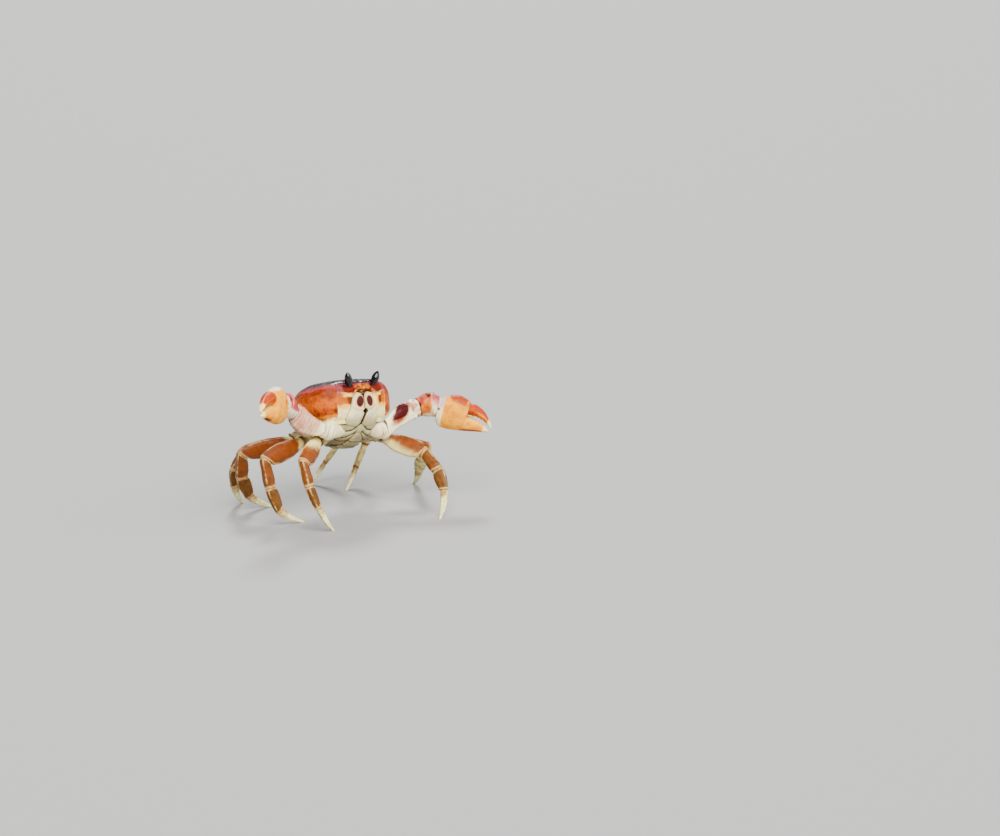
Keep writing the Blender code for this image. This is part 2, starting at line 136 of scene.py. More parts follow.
CLAW_MERUS = (
    (0.0, -3.0, 3.8, 3.0),
    (0.2, -3.7, 5.0, 3.3),
    (0.55, -5.2, 5.9, 3.9),
    (0.85, -4.9, 5.4, 3.8),
    (1.0, -4.2, 4.6, 3.5),
)
CLAW_CARPUS = ((0.0, -3.8, 5.2, 3.6), (0.4, -4.4, 7.2, 4.6), (0.75, -4.6, 7.4, 4.6), (1.0, -4.4, 5.8, 4.0))
# Hand and moving finger, in millimetres from the wrist
HAND = (
    (0.0, -4.8, 5.2, 3.6),
    (1.8, -6.6, 6.8, 4.2),
    (4.5, -8.2, 9.0, 4.6),
    (8.0, -7.9, 10.2, 4.8),
    (12.0, -6.6, 10.0, 4.5),
    (13.7, -6.0, 9.2, 4.2),
    (14.25, -5.8, 8.6, 4.1),
    (14.5, -5.7, 5.5, 3.9),
    (14.8, -5.5, 2.9, 3.7),
    (15.6, -5.2, 2.5, 3.4),
    (18.0, -4.3, 2.5, 2.8),
    (21.5, -2.8, 2.0, 2.1),
    (25.0, -1.4, 1.2, 1.3),
    (26.8, -0.6, 0.5, 0.5),
)
FINGER = (
    (14.35, 3.3, 8.9, 2.9),
    (15.0, 3.3, 9.1, 3.1),
    (16.4, 3.7, 9.35, 3.2),
    (19.0, 4.2, 9.0, 2.9),
    (22.0, 4.2, 7.8, 2.3),
    (24.8, 3.4, 5.8, 1.6),
    (26.6, 2.5, 4.1, 1.0),
    (27.6, 1.9, 2.8, 0.5),
)
# Rounded ends: how far each ring stands out, and its share of the size
DOME = ((1.1, 0.35), (0.75, 0.78))
TIP_ROUND = ((0.45, 0.86), (0.8, 0.55), (0.92, 0.2))
ROOT_ROUND = ((0.14, 0.4), (0.1, 0.85))
RIM = ((0.10, 0.975), (0.16, 0.94), (0.5, 0.86), (1.0, 0.72), (1.15, 0.4), (1.15, 0.08))

# Segments of legs and claws: sections and the squareness of their outline
LEG_SHAPES = {
    "hip": (HIP, 2.1),
    "merus": (MERUS, 1.9),
    "carpus": (CARPUS, 2.1),
    "propodus": (PROPODUS, 2.2),
    "dactyl": (DACTYL, 2.0),
}
CLAW_SQUARENESS = {"base": 2.0, "merus": 2.15, "carpus": 2.1, "hand": 2.25, "finger": 2.0}
FLEXOR_NOTCH = 0.35
# Half height and half width of the skin at the far end of each segment
LEG_PADS = {"hip": (2.3, 2.0), "merus": (2.7, 2.0), "carpus": (2.5, 2.0), "propodus": (1.85, 1.25)}
CLAW_PADS = {"base": (3.35, 2.85), "merus": (4.2, 3.3), "carpus": (4.9, 3.75)}

# How finely the pieces are cut, in points or in millimetres
CARAPACE_CUTS = 130
BREASTPLATE_CUTS = 90
PROFILE_ROWS = 420
LEG_ROUND, LEG_SPACING = 44, 0.38
CLAW_ROUND, CLAW_SPACING = 64, 0.3
# Rings along and points round the pieces that aren't segments
MOUTH_RINGS, MOUTH_ROUND = 90, 64
TAIL_RINGS, TAIL_ROUND = 130, 40
EYE_RINGS, EYE_ROUND = 80, 48
FEELER_RINGS, FEELER_ROUND = 60, 16
SKIN_CUTS = 10
THORN_SIDES = 5
RIM_SNAP = 0.12  # points this near to a cut are moved onto it
LEG_SKIN_THICKNESS, CLAW_SKIN_THICKNESS = 1.5, 2.0

# Face and belly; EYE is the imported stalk, EYE_SHELL the slimmer one that is seen
EYE_BASE = (7.0, -18.7, 7.0)
EYE_LEAN = (0.33, -0.28, 0.90)
EYE = (
    (0.0, -1.2, 1.2, 1.2),
    (1.5, -1.4, 1.4, 1.4),
    (3.0, -1.8, 1.8, 1.7),
    (4.6, -1.9, 1.9, 1.8),
    (6.2, -1.7, 1.7, 1.6),
    (7.4, -1.1, 1.1, 1.1),
    (8.0, -0.5, 0.5, 0.5),
)
SOCKET_CENTRE = (7.7, -19.8, 10.3)
SOCKET_RADII = (2.6, 2.8, 1.9)
SOCKET_INWARD = (0.0, 0.86, -0.5)
EYE_SHELL = (
    (-1.5, -0.7, 0.7, 0.7),
    (0.9, -0.8, 0.8, 0.8),
    (1.9, -1.2, 1.2, 1.2),
    (3.2, -1.75, 1.75, 1.65),
    (4.6, -1.85, 1.85, 1.75),
    (6.0, -1.6, 1.6, 1.5),
    (7.3, -0.95, 0.95, 0.9),
    (8.0, -0.3, 0.3, 0.3),
)
MAXILLIPED = (  # height, front face, inner and outer edge, from the mouth's top down
    (4.2, -20.3, 2.2, 4.6),
    (3.0, -20.9, 0.9, 5.8),
    (0.5, -21.1, 0.4, 6.7),
    (-2.5, -20.9, 0.5, 7.7),
    (-5.5, -20.3, 0.6, 9.0),
    (-8.0, -19.5, 0.6, 9.8),
    (-10.0, -18.6, 0.8, 9.3),
    (-11.2, -17.8, 1.8, 7.0),
)
MAXILLIPED_TOP = (4.75, -20.1, 3.1, 3.9)
MAXILLIPED_FOOT = (-11.7, -17.5, 3.2, 5.0)
MAXILLIPED_THICKNESS = 2.4
MAXILLIPED_TURN = 8.0
# The joint, the furrow and the brim of a mouth plate, from the front
MOUTH_LINES = (
    ((0.2, -3.4, 0), (3.2, -3.9, 0), (6.0, -2.9, 0), (8.4, -1.6, 0)),
    ((2.5, -4.6, 0), (2.3, -10.5, 0)),
    ((5.2, 3.4, 0), (5.9, 0.5, 0), (6.8, -2.4, 0)),
)
ABDOMEN = (  # degrees behind straight down, half width and half thickness
    (-42, 1.3, 0.7),
    (-33, 3.2, 1.0),
    (-18, 4.8, 1.1),
    (2, 6.0, 1.1),
    (22, 6.4, 1.1),
    (40, 6.2, 1.1),
    (56, 5.6, 1.0),
    (70, 4.8, 0.8),
)
TAIL_SEAMS = (4.2, 8.0, 11.8, 15.6, 19.4, 23.2)  # how far along the tail each ring begins
ANTENNA = ((4.5, -20.6, 5.6), (5.5, -21.2, 5.4), (6.6, -21.4, 4.7), (7.4, -21.2, 3.7))
ANTENNA_RADII = (0.55, 0.45, 0.35, 0.28)

CAMERA_AIM = (64.3, -46.8, 41.5)
CAMERA_DISTANCE = 1463.4
CAMERA_AZIMUTH = -43.0
CAMERA_ELEVATION = 13.0
CAMERA_LENS = 108.0
CAMERA_SENSOR = 36.0

# Lights: name, direction towards it, breadth in degrees, strength and colour
LAMPS = (
    ("key", (-0.35, -0.62, 0.70), 50, 8.2, (1.0, 0.98, 0.95)),
    ("fill", (0.5, -0.6, 0.35), 60, 2.2, (0.96, 0.98, 1.0)),
    ("sky", (0.47, 0.52, 0.71), 14, 3.4, (0.97, 0.99, 1.0)),
)
BACKDROP_COLOUR, BACKDROP_STRENGTH = (0.86, 0.91, 1.0, 1.0), 0.38
FLOOR_SIZE = 15.0  # metres
FLOOR_COLOUR = (0.30, 0.297, 0.29, 1.0)

Joint = namedtuple("Joint", "point normal")
Segment = namedtuple("Segment", "name frame length start end")


# ---------------------------------------------------------------- numbers and shapes


def power(value, exponent):
    """A power that keeps the value's sign."""
    return np.sign(value) * np.abs(value) ** exponent


def rise(value, low, high):
    """0 below low, 1 above high, and a smooth change between them."""
    share = np.clip((value - low) / (high - low), 0.0, 1.0)
    return share * share * (3.0 - 2.0 * share)


def swell(distance, width):
    """1 at no distance, falling smoothly to 0 at the width."""
    return 1.0 - rise(np.abs(distance), 0.0, width)


def lumps(points, size, seed=0):
    """Smooth irregular values from -1 to 1, with lumps of that size."""
    place = np.asarray(points) / size + 31.7 * (seed + 1)
    cell = np.floor(place).astype(np.int64)
    share = place - cell
    share = share * share * (3.0 - 2.0 * share)
    total = np.zeros(len(place))
    for corner in range(8):
        step = np.array([corner & 1, corner >> 1 & 1, corner >> 2 & 1])
        x, y, z = (cell + step).T
        mixed = (x * 73856093) ^ (y * 19349663) ^ (z * 83492791)
        mixed = (mixed ^ (mixed >> 13)) * 1274126177 & 0x7FFFFFFF
        value = (mixed % 20011) / 10005.5 - 1.0
        total += value * np.where(step, share, 1.0 - share).prod(axis=1)
    return total


def path_distance(points, path):
    """How far each point is from a bent line through the path's places."""
    nearest = np.full(len(points), 1e9)
    path = np.array(path, float)
    for start, end in zip(path[:-1], path[1:]):
        along = end - start
        share = np.clip((points - start) @ along / (along @ along), 0.0, 1.0)
        gap = np.linalg.norm(points - start - share[:, None] * along, axis=1)
        nearest = np.minimum(nearest, gap)
    return nearest


def eased(at, places, values):
    """A smooth line through the values that never overshoots them."""
    steps = np.diff(places)
    slopes = np.diff(values) / steps
    tangents = np.zeros(len(values))
    tangents[0], tangents[-1] = slopes[0], slopes[-1]
    for index in range(1, len(slopes)):
        before, after = slopes[index - 1], slopes[index]
        if before * after > 0.0:
            tangents[index] = 2.0 * before * after / (before + after)
    cell = np.clip(np.searchsorted(places, at) - 1, 0, len(steps) - 1)
    share = (at - places[cell]) / steps[cell]
    a, b = values[cell], values[cell + 1]
    ta, tb = tangents[cell] * steps[cell], tangents[cell + 1] * steps[cell]
    cube, square = share**3, share**2
    return (
        (2 * cube - 3 * square + 1) * a
        + (cube - 2 * square + share) * ta
        + (3 * square - 2 * cube) * b
        + (cube - square) * tb
    )


def running_total(steps):
    """The length reached at each place, from the steps between them."""
    return np.concatenate([[0.0], np.cumsum(steps)])


def profile_rows(rows, count):
    """The rows of a profile, evened out into many along smooth lines through them."""
    rows = np.array(rows, float)
    sizes = (rows[:, 2] - rows[:, 1]) / 2
    run = running_total(np.hypot(np.diff(rows[:, 0]), np.diff(sizes)))
    at = np.linspace(0.0, run[-1], count)
    return np.column_stack([eased(at, run, rows[:, column]) for column in range(4)])


def smooth_path(path, count):
    """A smooth line through a few places: their runs, and the runs, places and directions of many."""
    run = running_total(np.linalg.norm(np.diff(path, axis=0), axis=1))
    at = np.linspace(0.0, run[-1], count)
    middle = np.column_stack([eased(at, run, path[:, axis]) for axis in range(3)])
    along = np.gradient(middle, axis=0)
    return run, at, middle, along / np.linalg.norm(along, axis=1)[:, None]


def end_rounding(at, near, far, least):
    """How full a piece is along its run, with its two ends rounded over these lengths."""
    ends = np.minimum(at / near, (at[-1] - at) / far).clip(least, 1.0)
    return np.sqrt(1.0 - (1.0 - ends) ** 2)


def frame_along(origin, forward, up):
    """A frame with X forward and Z as near to up as can be."""
    x = forward.normalized()
    y = up.cross(x).normalized()
    z = x.cross(y)
    placed = Matrix((x, y, z)).transposed().to_4x4()
    placed.translation = origin
    return placed


def moved(points, matrix):
    """Points carried by a matrix."""
    matrix = np.array(matrix)
    return points @ matrix[:3, :3].T + matrix[:3, 3]


def side_sign(side):
    return 1.0 if side == "left" else -1.0


def mirrored(place, side):
    """A place given for the left side, on the side asked for."""
    return Vector((place[0] * side_sign(side), place[1], place[2]))


# ---------------------------------------------------------------- meshes


def read_points(bm):
    return np.array([vert.co[:] for vert in bm.verts])


def read_normals(bm):
    bm.normal_update()
    return np.array([vert.normal[:] for vert in bm.verts])


def put_points(bm, points):
    for vert, point in zip(bm.verts, points.tolist()):
        vert.co = point


def push_out(bm, amounts):
    """Move every point along its normal by its own amount."""
    put_points(bm, read_points(bm) + read_normals(bm) * np.asarray(amounts)[:, None])


def ball(cuts, radii=(1.0, 1.0, 1.0)):
    """A ball of even squares, drawn out to its three radii."""
    bm = bmesh.new()
    bmesh.ops.create_cube(bm, size=2.0)
    bmesh.ops.subdivide_edges(bm, edges=bm.edges[:], cuts=cuts, use_grid_fill=True)
    points = np.tan(read_points(bm) * pi / 4)
    points /= np.linalg.norm(points, axis=1)[:, None]
    put_points(bm, points * np.array(radii))
    return bm


def tube(rings, sides):
    """A closed unit tube along X, with a ring of points at each whole number."""
    bm = bmesh.new()
    turn = Matrix.Rotation(pi / 2, 4, "Y")
    bmesh.ops.create_circle(bm, segments=sides, radius=1.0, matrix=turn)
    first = bm.edges[:]
    spun = bmesh.ops.spin(
        bm,
        geom=bm.verts[:] + bm.edges[:],
        axis=(1, 0, 0),
        cent=(0, 0, 0),
        dvec=(1, 0, 0),
        angle=0.0,
        steps=rings - 1,
        use_merge=False,
        use_duplicate=False,
    )
    last = [item for item in spun["geom_last"] if isinstance(item, bmesh.types.BMEdge)]
    bmesh.ops.edgeloop_fill(bm, edges=first)
    bmesh.ops.edgeloop_fill(bm, edges=last)
    return bm


def tube_places(bm, sides):
    """The ring and the side that each point of a unit tube belongs to."""
    points = read_points(bm)
    ring = np.rint(points[:, 0]).astype(int)
    turn = np.arctan2(points[:, 2], points[:, 1]) / (2 * pi) * sides
    return ring, np.rint(turn).astype(int) % sides


def round_tube(rings, sides):
    """A unit tube, and the ring and the turn in radians of each of its points."""
    bm = tube(rings, sides)
    ring, side = tube_places(bm, sides)
    return bm, ring, side * 2 * pi / sides


def put_in_scene(name, data):
    """Link a new object at the origin."""
    made = bpy.data.objects.new(name, data)
    bpy.context.scene.collection.objects.link(made)
    return made


def carry_attributes(mesh, fields):
    for name, values in fields.items():
        values = np.asarray(values, np.float32)
        if values.ndim == 1:
            store = mesh.attributes.new(name, "FLOAT", "POINT")
            store.data.foreach_set("value", values)
        else:
            store = mesh.attributes.new(name, "FLOAT_VECTOR", "POINT")
            store.data.foreach_set("vector", values.ravel())


def make_piece(name, bm, placing, slot, nodes, **marks):
    """Turn a mesh in millimetres into a finished piece standing in the crab's place."""
    fields = {"place": read_points(bm), **marks}
    bmesh.ops.recalc_face_normals(bm, faces=bm.faces)
    world = CRAB_PLACE @ placing
    bmesh.ops.transform(bm, matrix=Matrix.Scale(MM, 4) @ world, verts=bm.verts)
    for vert in bm.verts:
        vert.co.z = max(vert.co.z, 0.0)
    mesh = bpy.data.meshes.new(name)
    bm.to_mesh(mesh)
    bm.free()
    carry_attributes(mesh, fields)
    mesh.shade_smooth()
    mesh.materials.append(FINISHES[slot])
    piece = put_in_scene(name, mesh)
    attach(piece, "root")
    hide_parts(*nodes)


# ---------------------------------------------------------------- how the crab is held


def body_frame():
    """The body's own frame, tipped back and leaning, with its middle over the origin."""
    roll = Matrix.Rotation(radians(LEFT_DOWN), 4, "Y")
    pitch = Matrix.Rotation(radians(-NOSE_UP), 4, "X")
    return Matrix.Translation((0.0, 0.0, BODY_HEIGHT)) @ roll @ pitch


def heading_vector(side, heading, lift):
    """Degrees ahead of straight out to the side, and degrees up."""
    turn, up = radians(heading), radians(lift)
    return Vector((side_sign(side) * cos(turn) * cos(up), -sin(turn) * cos(up), sin(up)))


def leg_directions(side, pair, start_height):
    """Direction and back of each segment, with the leg lifted so its toe meets the floor."""
    heading, roll, *bends = LEG_POSE[side, pair]
    turned = radians(roll)
    angles = [radians(sum(bends[:count])) for count in range(4)]
    lengths = LEG_LENGTHS[pair]
    along = sum(length * cos(angle) for length, angle in zip(lengths, angles))
    down = sum(length * sin(angle) for length, angle in zip(lengths, angles)) * cos(turned)
    lift = asin(-start_height / sqrt(along**2 + down**2)) + atan2(down, along)
    forward = heading_vector(side, heading, degrees(lift))
    outward = heading_vector(side, heading, 0.0)
    upright = Vector((0.0, 0.0, 1.0)) * cos(lift) - outward * sin(lift)
    ahead = heading_vector(side, heading + 90, 0.0)
    back = upright * cos(turned) - ahead * sin(turned)
    return [
        (forward * cos(angle) - back * sin(angle), back * cos(angle) + forward * sin(angle))
        for angle in angles
    ]


def joint_between(point, before, after):
    """A joint whose plane halves the angle between two segments."""
    return Joint(point, (before.normalized() + after.normalized()).normalized())


def leg_segments(side, pair):
    """The hip and the four segments of a leg, each with its frame and its joints."""
    root = BODY @ mirrored(LEG_ROOTS[pair], side)
    start = BODY @ mirrored(MERUS_STARTS[pair], side)
    directions = leg_directions(side, pair, start.z)
    joint = joint_between(start, start - root, directions[0][0])
    hip = frame_along(root, start - root, directions[0][1])
    segments = [Segment("hip", hip, (start - root).length, None, joint)]
    point = start
    for index, name in enumerate(("merus", "carpus", "propodus", "dactyl")):
        forward, back = directions[index]
        length = LEG_LENGTHS[pair][index]
        begun = joint
        placed = frame_along(point, forward, back)
        point = point + forward * length
        joint = None
        if name != "dactyl":
            joint = joint_between(point, forward, directions[index + 1][0])
        segments.append(Segment(name, placed, length, begun, joint))
    return segments


def claw_segments(side):
    """The five segments of a claw; the roll of the wrist turns its own frame only."""
    root = BODY @ mirrored(CLAW_ROOT, side)
    start = BODY @ mirrored(CLAW_MERUS_START, side)
    up = Vector((0.0, 0.0, 1.0))
    merus, carpus, hand = [heading_vector(side, *angles) for angles in CLAW_POSE[side]]
    elbow = start + merus * CLAW_LENGTHS[0]
    wrist = elbow + carpus * CLAW_LENGTHS[1]
    start = start + merus * CLAW_BASE_REACH[side]
    length = CLAW_LENGTHS[0] - CLAW_BASE_REACH[side]
    shoulder = joint_between(start, start - root, merus)
    bend = joint_between(elbow, merus, carpus)
    turn = joint_between(wrist, carpus, hand)
    roll = Matrix.Rotation(radians(CLAW_ROLL[side]), 4, "X")
    return [
        Segment("base", frame_along(root, start - root, up), (start - root).length, None, shoulder),
        Segment("merus", frame_along(start, merus, up), length, shoulder, bend),
        Segment("carpus", frame_along(elbow, carpus, up) @ roll, CLAW_LENGTHS[1], bend, turn),
        Segment("hand", frame_along(wrist, hand, up), 1.0, turn, None),
        Segment("finger", frame_along(wrist, hand, up), 1.0, None, None),
    ]


def eye_frame(side):
    """The eye's frame in the body, with X out along the stalk."""
    lean = mirrored(EYE_LEAN, side)
    return frame_along(mirrored(EYE_BASE, side), lean, Vector((0.0, -1.0, 0.0)))


def crab_place():
    """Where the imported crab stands, found from the middles of its two eyes."""
    shift = Vector((0.0, 0.0, 0.0))
    turns = np.linspace(0.0, 2 * pi, 37)[:-1]
    for side in SIDES:
        rows = [
            np.column_stack([np.full(len(turns), x), half * np.cos(turns), top * np.sin(turns)])
            for x, _, top, half in EYE
        ]
        points = moved(np.vstack(rows), BODY @ eye_frame(side))
        middle = (points.min(axis=0) + points.max(axis=0)) / 2
        low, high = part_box(f"eye_{side}")
        shift += ((low + high) / 2 / MM - Vector(middle)) / 2
    return Matrix.Translation((shift.x, shift.y, 0.0))


# ---------------------------------------------------------------- segments of legs and claws


def domed(sections, length, size=1.0):
    """Sections in millimetres, with rounded ends that reach past both joints."""
    rings = [(x * length, low * size, high * size, half * size) for x, low, high, half in sections]
    first, last = rings[0], rings[-1]
    start = [(first[0] - first[3] * out, *[v * share for v in first[1:]]) for out, share in DOME]
    end = [(last[0] + last[3] * out, *[v * share for v in last[1:]]) for out, share in reversed(DOME)]
    return start + rings + end


def shrunk(ring, out, share):
    """A ring moved along its piece and shrunk about its own middle."""
    x, low, high, half = ring
    middle, size = (low + high) / 2, (high - low) / 2
    return (x + out, middle - size * share, middle + size * share, half * share)


def rounded_tip(rings):
    """The rings of a finger or a toe, with its blunt tip rounded off."""
    size = (rings[-1][2] - rings[-1][1]) / 2
    return list(rings) + [shrunk(rings[-1], out * size, share) for out, share in TIP_ROUND]


def rounded_root(rings):
    """The rings of a piece whose near end is a low dome."""
    half = rings[0][3]
    return [shrunk(rings[0], -out * half, share) for out, share in ROOT_ROUND] + list(rings)


def bowed(rings, length, height):
    """Rings lifted into an arch along their segment."""
    lifts = [height * 4 * (ring[0] / length) * (1 - ring[0] / length) for ring in rings]
    return [(x, low + lift, high + lift, half) for (x, low, high, half), lift in zip(rings, lifts)]


def crossing(values, from_start):
    """Where along the rows, for each side, the surface passes through a joint's plane."""
    rows = len(values)
    half = rows // 2
    if from_start:
        inside = values[:half] > 0.0
        index = half - 1 - np.argmax(~inside[::-1], axis=0)
        index = np.where(inside.all(axis=0), 0, index)
    else:
        outside = values[half:] > 0.0
        index = half - 1 + np.argmax(outside, axis=0)
        index = np.where(outside.any(axis=0), index, rows - 2)
    index = np.clip(index, 0, rows - 2)
    columns = np.arange(values.shape[1])
    a, b = values[index, columns], values[index + 1, columns]
    share = np.where(a * b < 0.0, a / (a - b + 1e-12), 0.0 if from_start else 1.0)
    return (index + np.clip(share, 0.0, 1.0)) / (rows - 1)


class Shell:
    """One tube-shaped piece of shell: its mesh, and where each point lies on it."""

    def __init__(self, rings, segment, sides, spacing, squareness, flexor_notch=0.0):
        self.sides = sides
        rows = profile_rows(rings, PROFILE_ROWS)
        turns = np.arange(sides) * 2 * pi / sides
        across = power(np.cos(turns), 2.0 / squareness)
        upward = power(np.sin(turns), 2.0 / squareness)
        x = np.repeat(rows[:, :1], sides, axis=1)
        y = rows[:, 3:4] * across
        z = (rows[:, 1:2] + rows[:, 2:3]) / 2 + (rows[:, 2:3] - rows[:, 1:2]) / 2 * upward
        self.grid = np.stack([x, y, z], axis=2)
        inset = GAP / 2 + flexor_notch * rise(-upward, 0.0, 0.9)
        inverse = np.array(segment.frame.inverted())
        normals = {}
        reach = {True: np.zeros(sides), False: np.ones(sides)}
        for joint, from_start in ((segment.start, True), (segment.end, False)):
            if joint is None:
                continue
            point = moved(np.array(joint.point)[None], inverse)[0]
            normals[from_start] = inverse[:3, :3] @ np.array(joint.normal)
            values = (self.grid - point) @ normals[from_start]
            values = values - inset if from_start else values + inset
            reach[from_start] = crossing(values, from_start)
        begin, finish = reach[True], reach[False]
        length = np.linalg.norm(np.diff(self.grid.mean(axis=1), axis=0), axis=1).sum()
        count = max(8, int(length / spacing))
        shares = np.linspace(0.0, 1.0, count)
        body = [self.at(begin + (finish - begin) * share) for share in shares]
        before = self.lip(body[0], normals[True]) if True in normals else []
        after = self.lip(body[-1], -normals[False]) if False in normals else []
        layers = before[::-1] + body + after
        self.first_body = len(before)
        self.last_body = len(before) + count - 1
        self.bm = tube(len(layers), sides)
        self.ring, self.side = tube_places(self.bm, sides)
        self.points = np.array(layers)[self.ring, self.side]
        put_points(self.bm, self.points)
        bmesh.ops.recalc_face_normals(self.bm, faces=self.bm.faces)
        self.along = np.clip((self.ring - self.first_body) / (count - 1), 0.0, 1.0)
        self.up = np.sin(turns)[self.side]
        self.out = np.cos(turns)[self.side]
        self.turn = turns[self.side]
        lengths = np.linalg.norm(np.diff(np.array(body), axis=0), axis=2).sum(axis=0)
        self.from_start = self.along * lengths[self.side]
        self.from_end = (1.0 - self.along) * lengths[self.side]
        self.on_side = (self.ring >= self.first_body) & (self.ring <= self.last_body)

    def at(self, share):
        """The points of one ring, at each side's own share of the rows."""
        rows = len(self.grid) - 1
        place = np.clip(share * rows, 0.0, rows - 1e-6)
        index = place.astype(int)
        part = (place - index)[:, None]
        sides = np.arange(self.sides)
        return self.grid[index, sides] * (1 - part) + self.grid[index + 1, sides] * part

    @staticmethod
    def lip(edge, inward):
        """Rings that round the rim over and go on into a shallow cup."""
        middle = edge.mean(axis=0)
        return [middle + (edge - middle) * share + inward * depth for depth, share in RIM]

    def swell_by(self, amounts):
        """Raise the outer surface by these amounts; the cups at the joints stay."""
        push_out(self.bm, np.where(self.on_side, amounts, 0.0))
        self.points = read_points(self.bm)


# ---------------------------------------------------------------- the body's surface


def body_surface(toward):
    """The body's surface in each of the given directions from its middle."""
    x, y, z = toward.T
    front_half = y < 0.0
    reach = np.where(front_half, FRONT_REACH, BACK_REACH)
    plan = np.where(front_half, PLAN_SQUARENESS["front"], PLAN_SQUARENESS["back"])
    longitude = np.arctan2(power(y / reach, plan / 2), power(x / HALF_WIDTH, plan / 2))
    across = HALF_WIDTH * power(np.cos(longitude), 2 / plan)
    along = reach * power(np.sin(longitude), 2 / plan)
    radius = np.hypot(across, along)
    front = np.maximum(0.0, -np.sin(longitude)) ** 2
    back = np.maximum(0.0, np.sin(longitude)) ** 2
    upright = np.zeros(len(x))
    for above, table in ((True, CROWN_SQUARENESS), (False, BELLY_SQUARENESS)):
        blend = front * table["front"] + back * table["back"] + (1 - front - back) * table["side"]
        upright = np.where((z > 0.0) == above, blend, upright)
    height = np.where(z > 0.0, CROWN, BELLY)
    flat = np.hypot(x, y) / radius
    latitude = np.arctan2(power(z / height, upright / 2), flat ** (upright / 2))
    spread = np.abs(np.cos(latitude)) ** (2 / upright)
    level = power(np.sin(latitude), 2 / upright) * height
    amount, start, finish = WAIST
    waist = 1.0 - amount * rise(-level, -start, -finish)
    return np.column_stack([across * spread * waist, WIDEST_Y + along * spread, level])


def body_ball(cuts):
    """A finely cut ball drawn out to the body's surface."""
    bm = ball(cuts, (HALF_WIDTH, (FRONT_REACH + BACK_REACH) / 2, (CROWN + BELLY) / 2))
    put_points(bm, body_surface(read_points(bm)))
    return bm


def part_body(bm, height, keep_above):
    """Cut the body level at a height and close it."""
    normal = (0.0, 0.0, -1.0) if keep_above else (0.0, 0.0, 1.0)
    result = bmesh.ops.bisect_plane(
        bm,
        geom=bm.verts[:] + bm.edges[:] + bm.faces[:],
        dist=RIM_SNAP,
        plane_co=(0.0, 0.0, height),
        plane_no=normal,
        use_snap_center=True,
        clear_outer=True,
    )
    rim = [item for item in result["geom_cut"] if isinstance(item, bmesh.types.BMEdge)]
    bmesh.ops.edgeloop_fill(bm, edges=rim)


def carve_orbit(points, side):
    """Push the shell back to the far wall of the eye's socket; 1 in the second result is its rim."""
    centre = np.array(mirrored(SOCKET_CENTRE, side))
    radii = np.array(SOCKET_RADII)
    inward = np.array(SOCKET_INWARD)
    scaled_place = (points - centre) / radii
    reach = np.linalg.norm(scaled_place, axis=1)
    pull = inward / radii
    a = pull @ pull
    b = scaled_place @ pull
    c = reach**2 - 1.0
    inside = reach < 1.0
    travel = np.where(inside, (-b + np.sqrt(np.maximum(b * b - a * c, 0.0))) / a, 0.0)
    return points + travel[:, None] * inward, reach


# The grooves that part the regions of the back: depth, width and path on the left half
BACK_GROOVES = (
    (0.75, 1.5, ((4.2, -4.5, 0), (3.6, 0, 0), (4.4, 5, 0), (5.6, 9, 0))),
    (0.45, 1.3, ((0, -4.8, 0), (4.2, -4.5, 0))),
    (0.5, 1.6, ((4.2, -4.5, 0), (8, -7, 0), (12, -8.5, 0), (16.5, -12.5, 0))),
    (0.4, 1.2, ((0, -19, 0), (0, -9, 0))),
    (0.3, 2.0, ((5.6, 9, 0), (9, 13, 0), (9, 17, 0))),
)
CHEEK_CREASE = ((15.0, -17.7, 6.5), (15.6, -17.6, 2), (15.7, -17.3, -3), (14.8, -16.6, -6))
CHEEK_FURROW = ((13.6, -18.2, 5.0), (14.0, -18.1, 0), (13.6, -17.7, -5))
SOCKET_SILL = ((5.5, -20, 4.8), (8.5, -19.8, 4.3), (12.0, -19.0, 5.2))
RIM_TUCK = 0.018


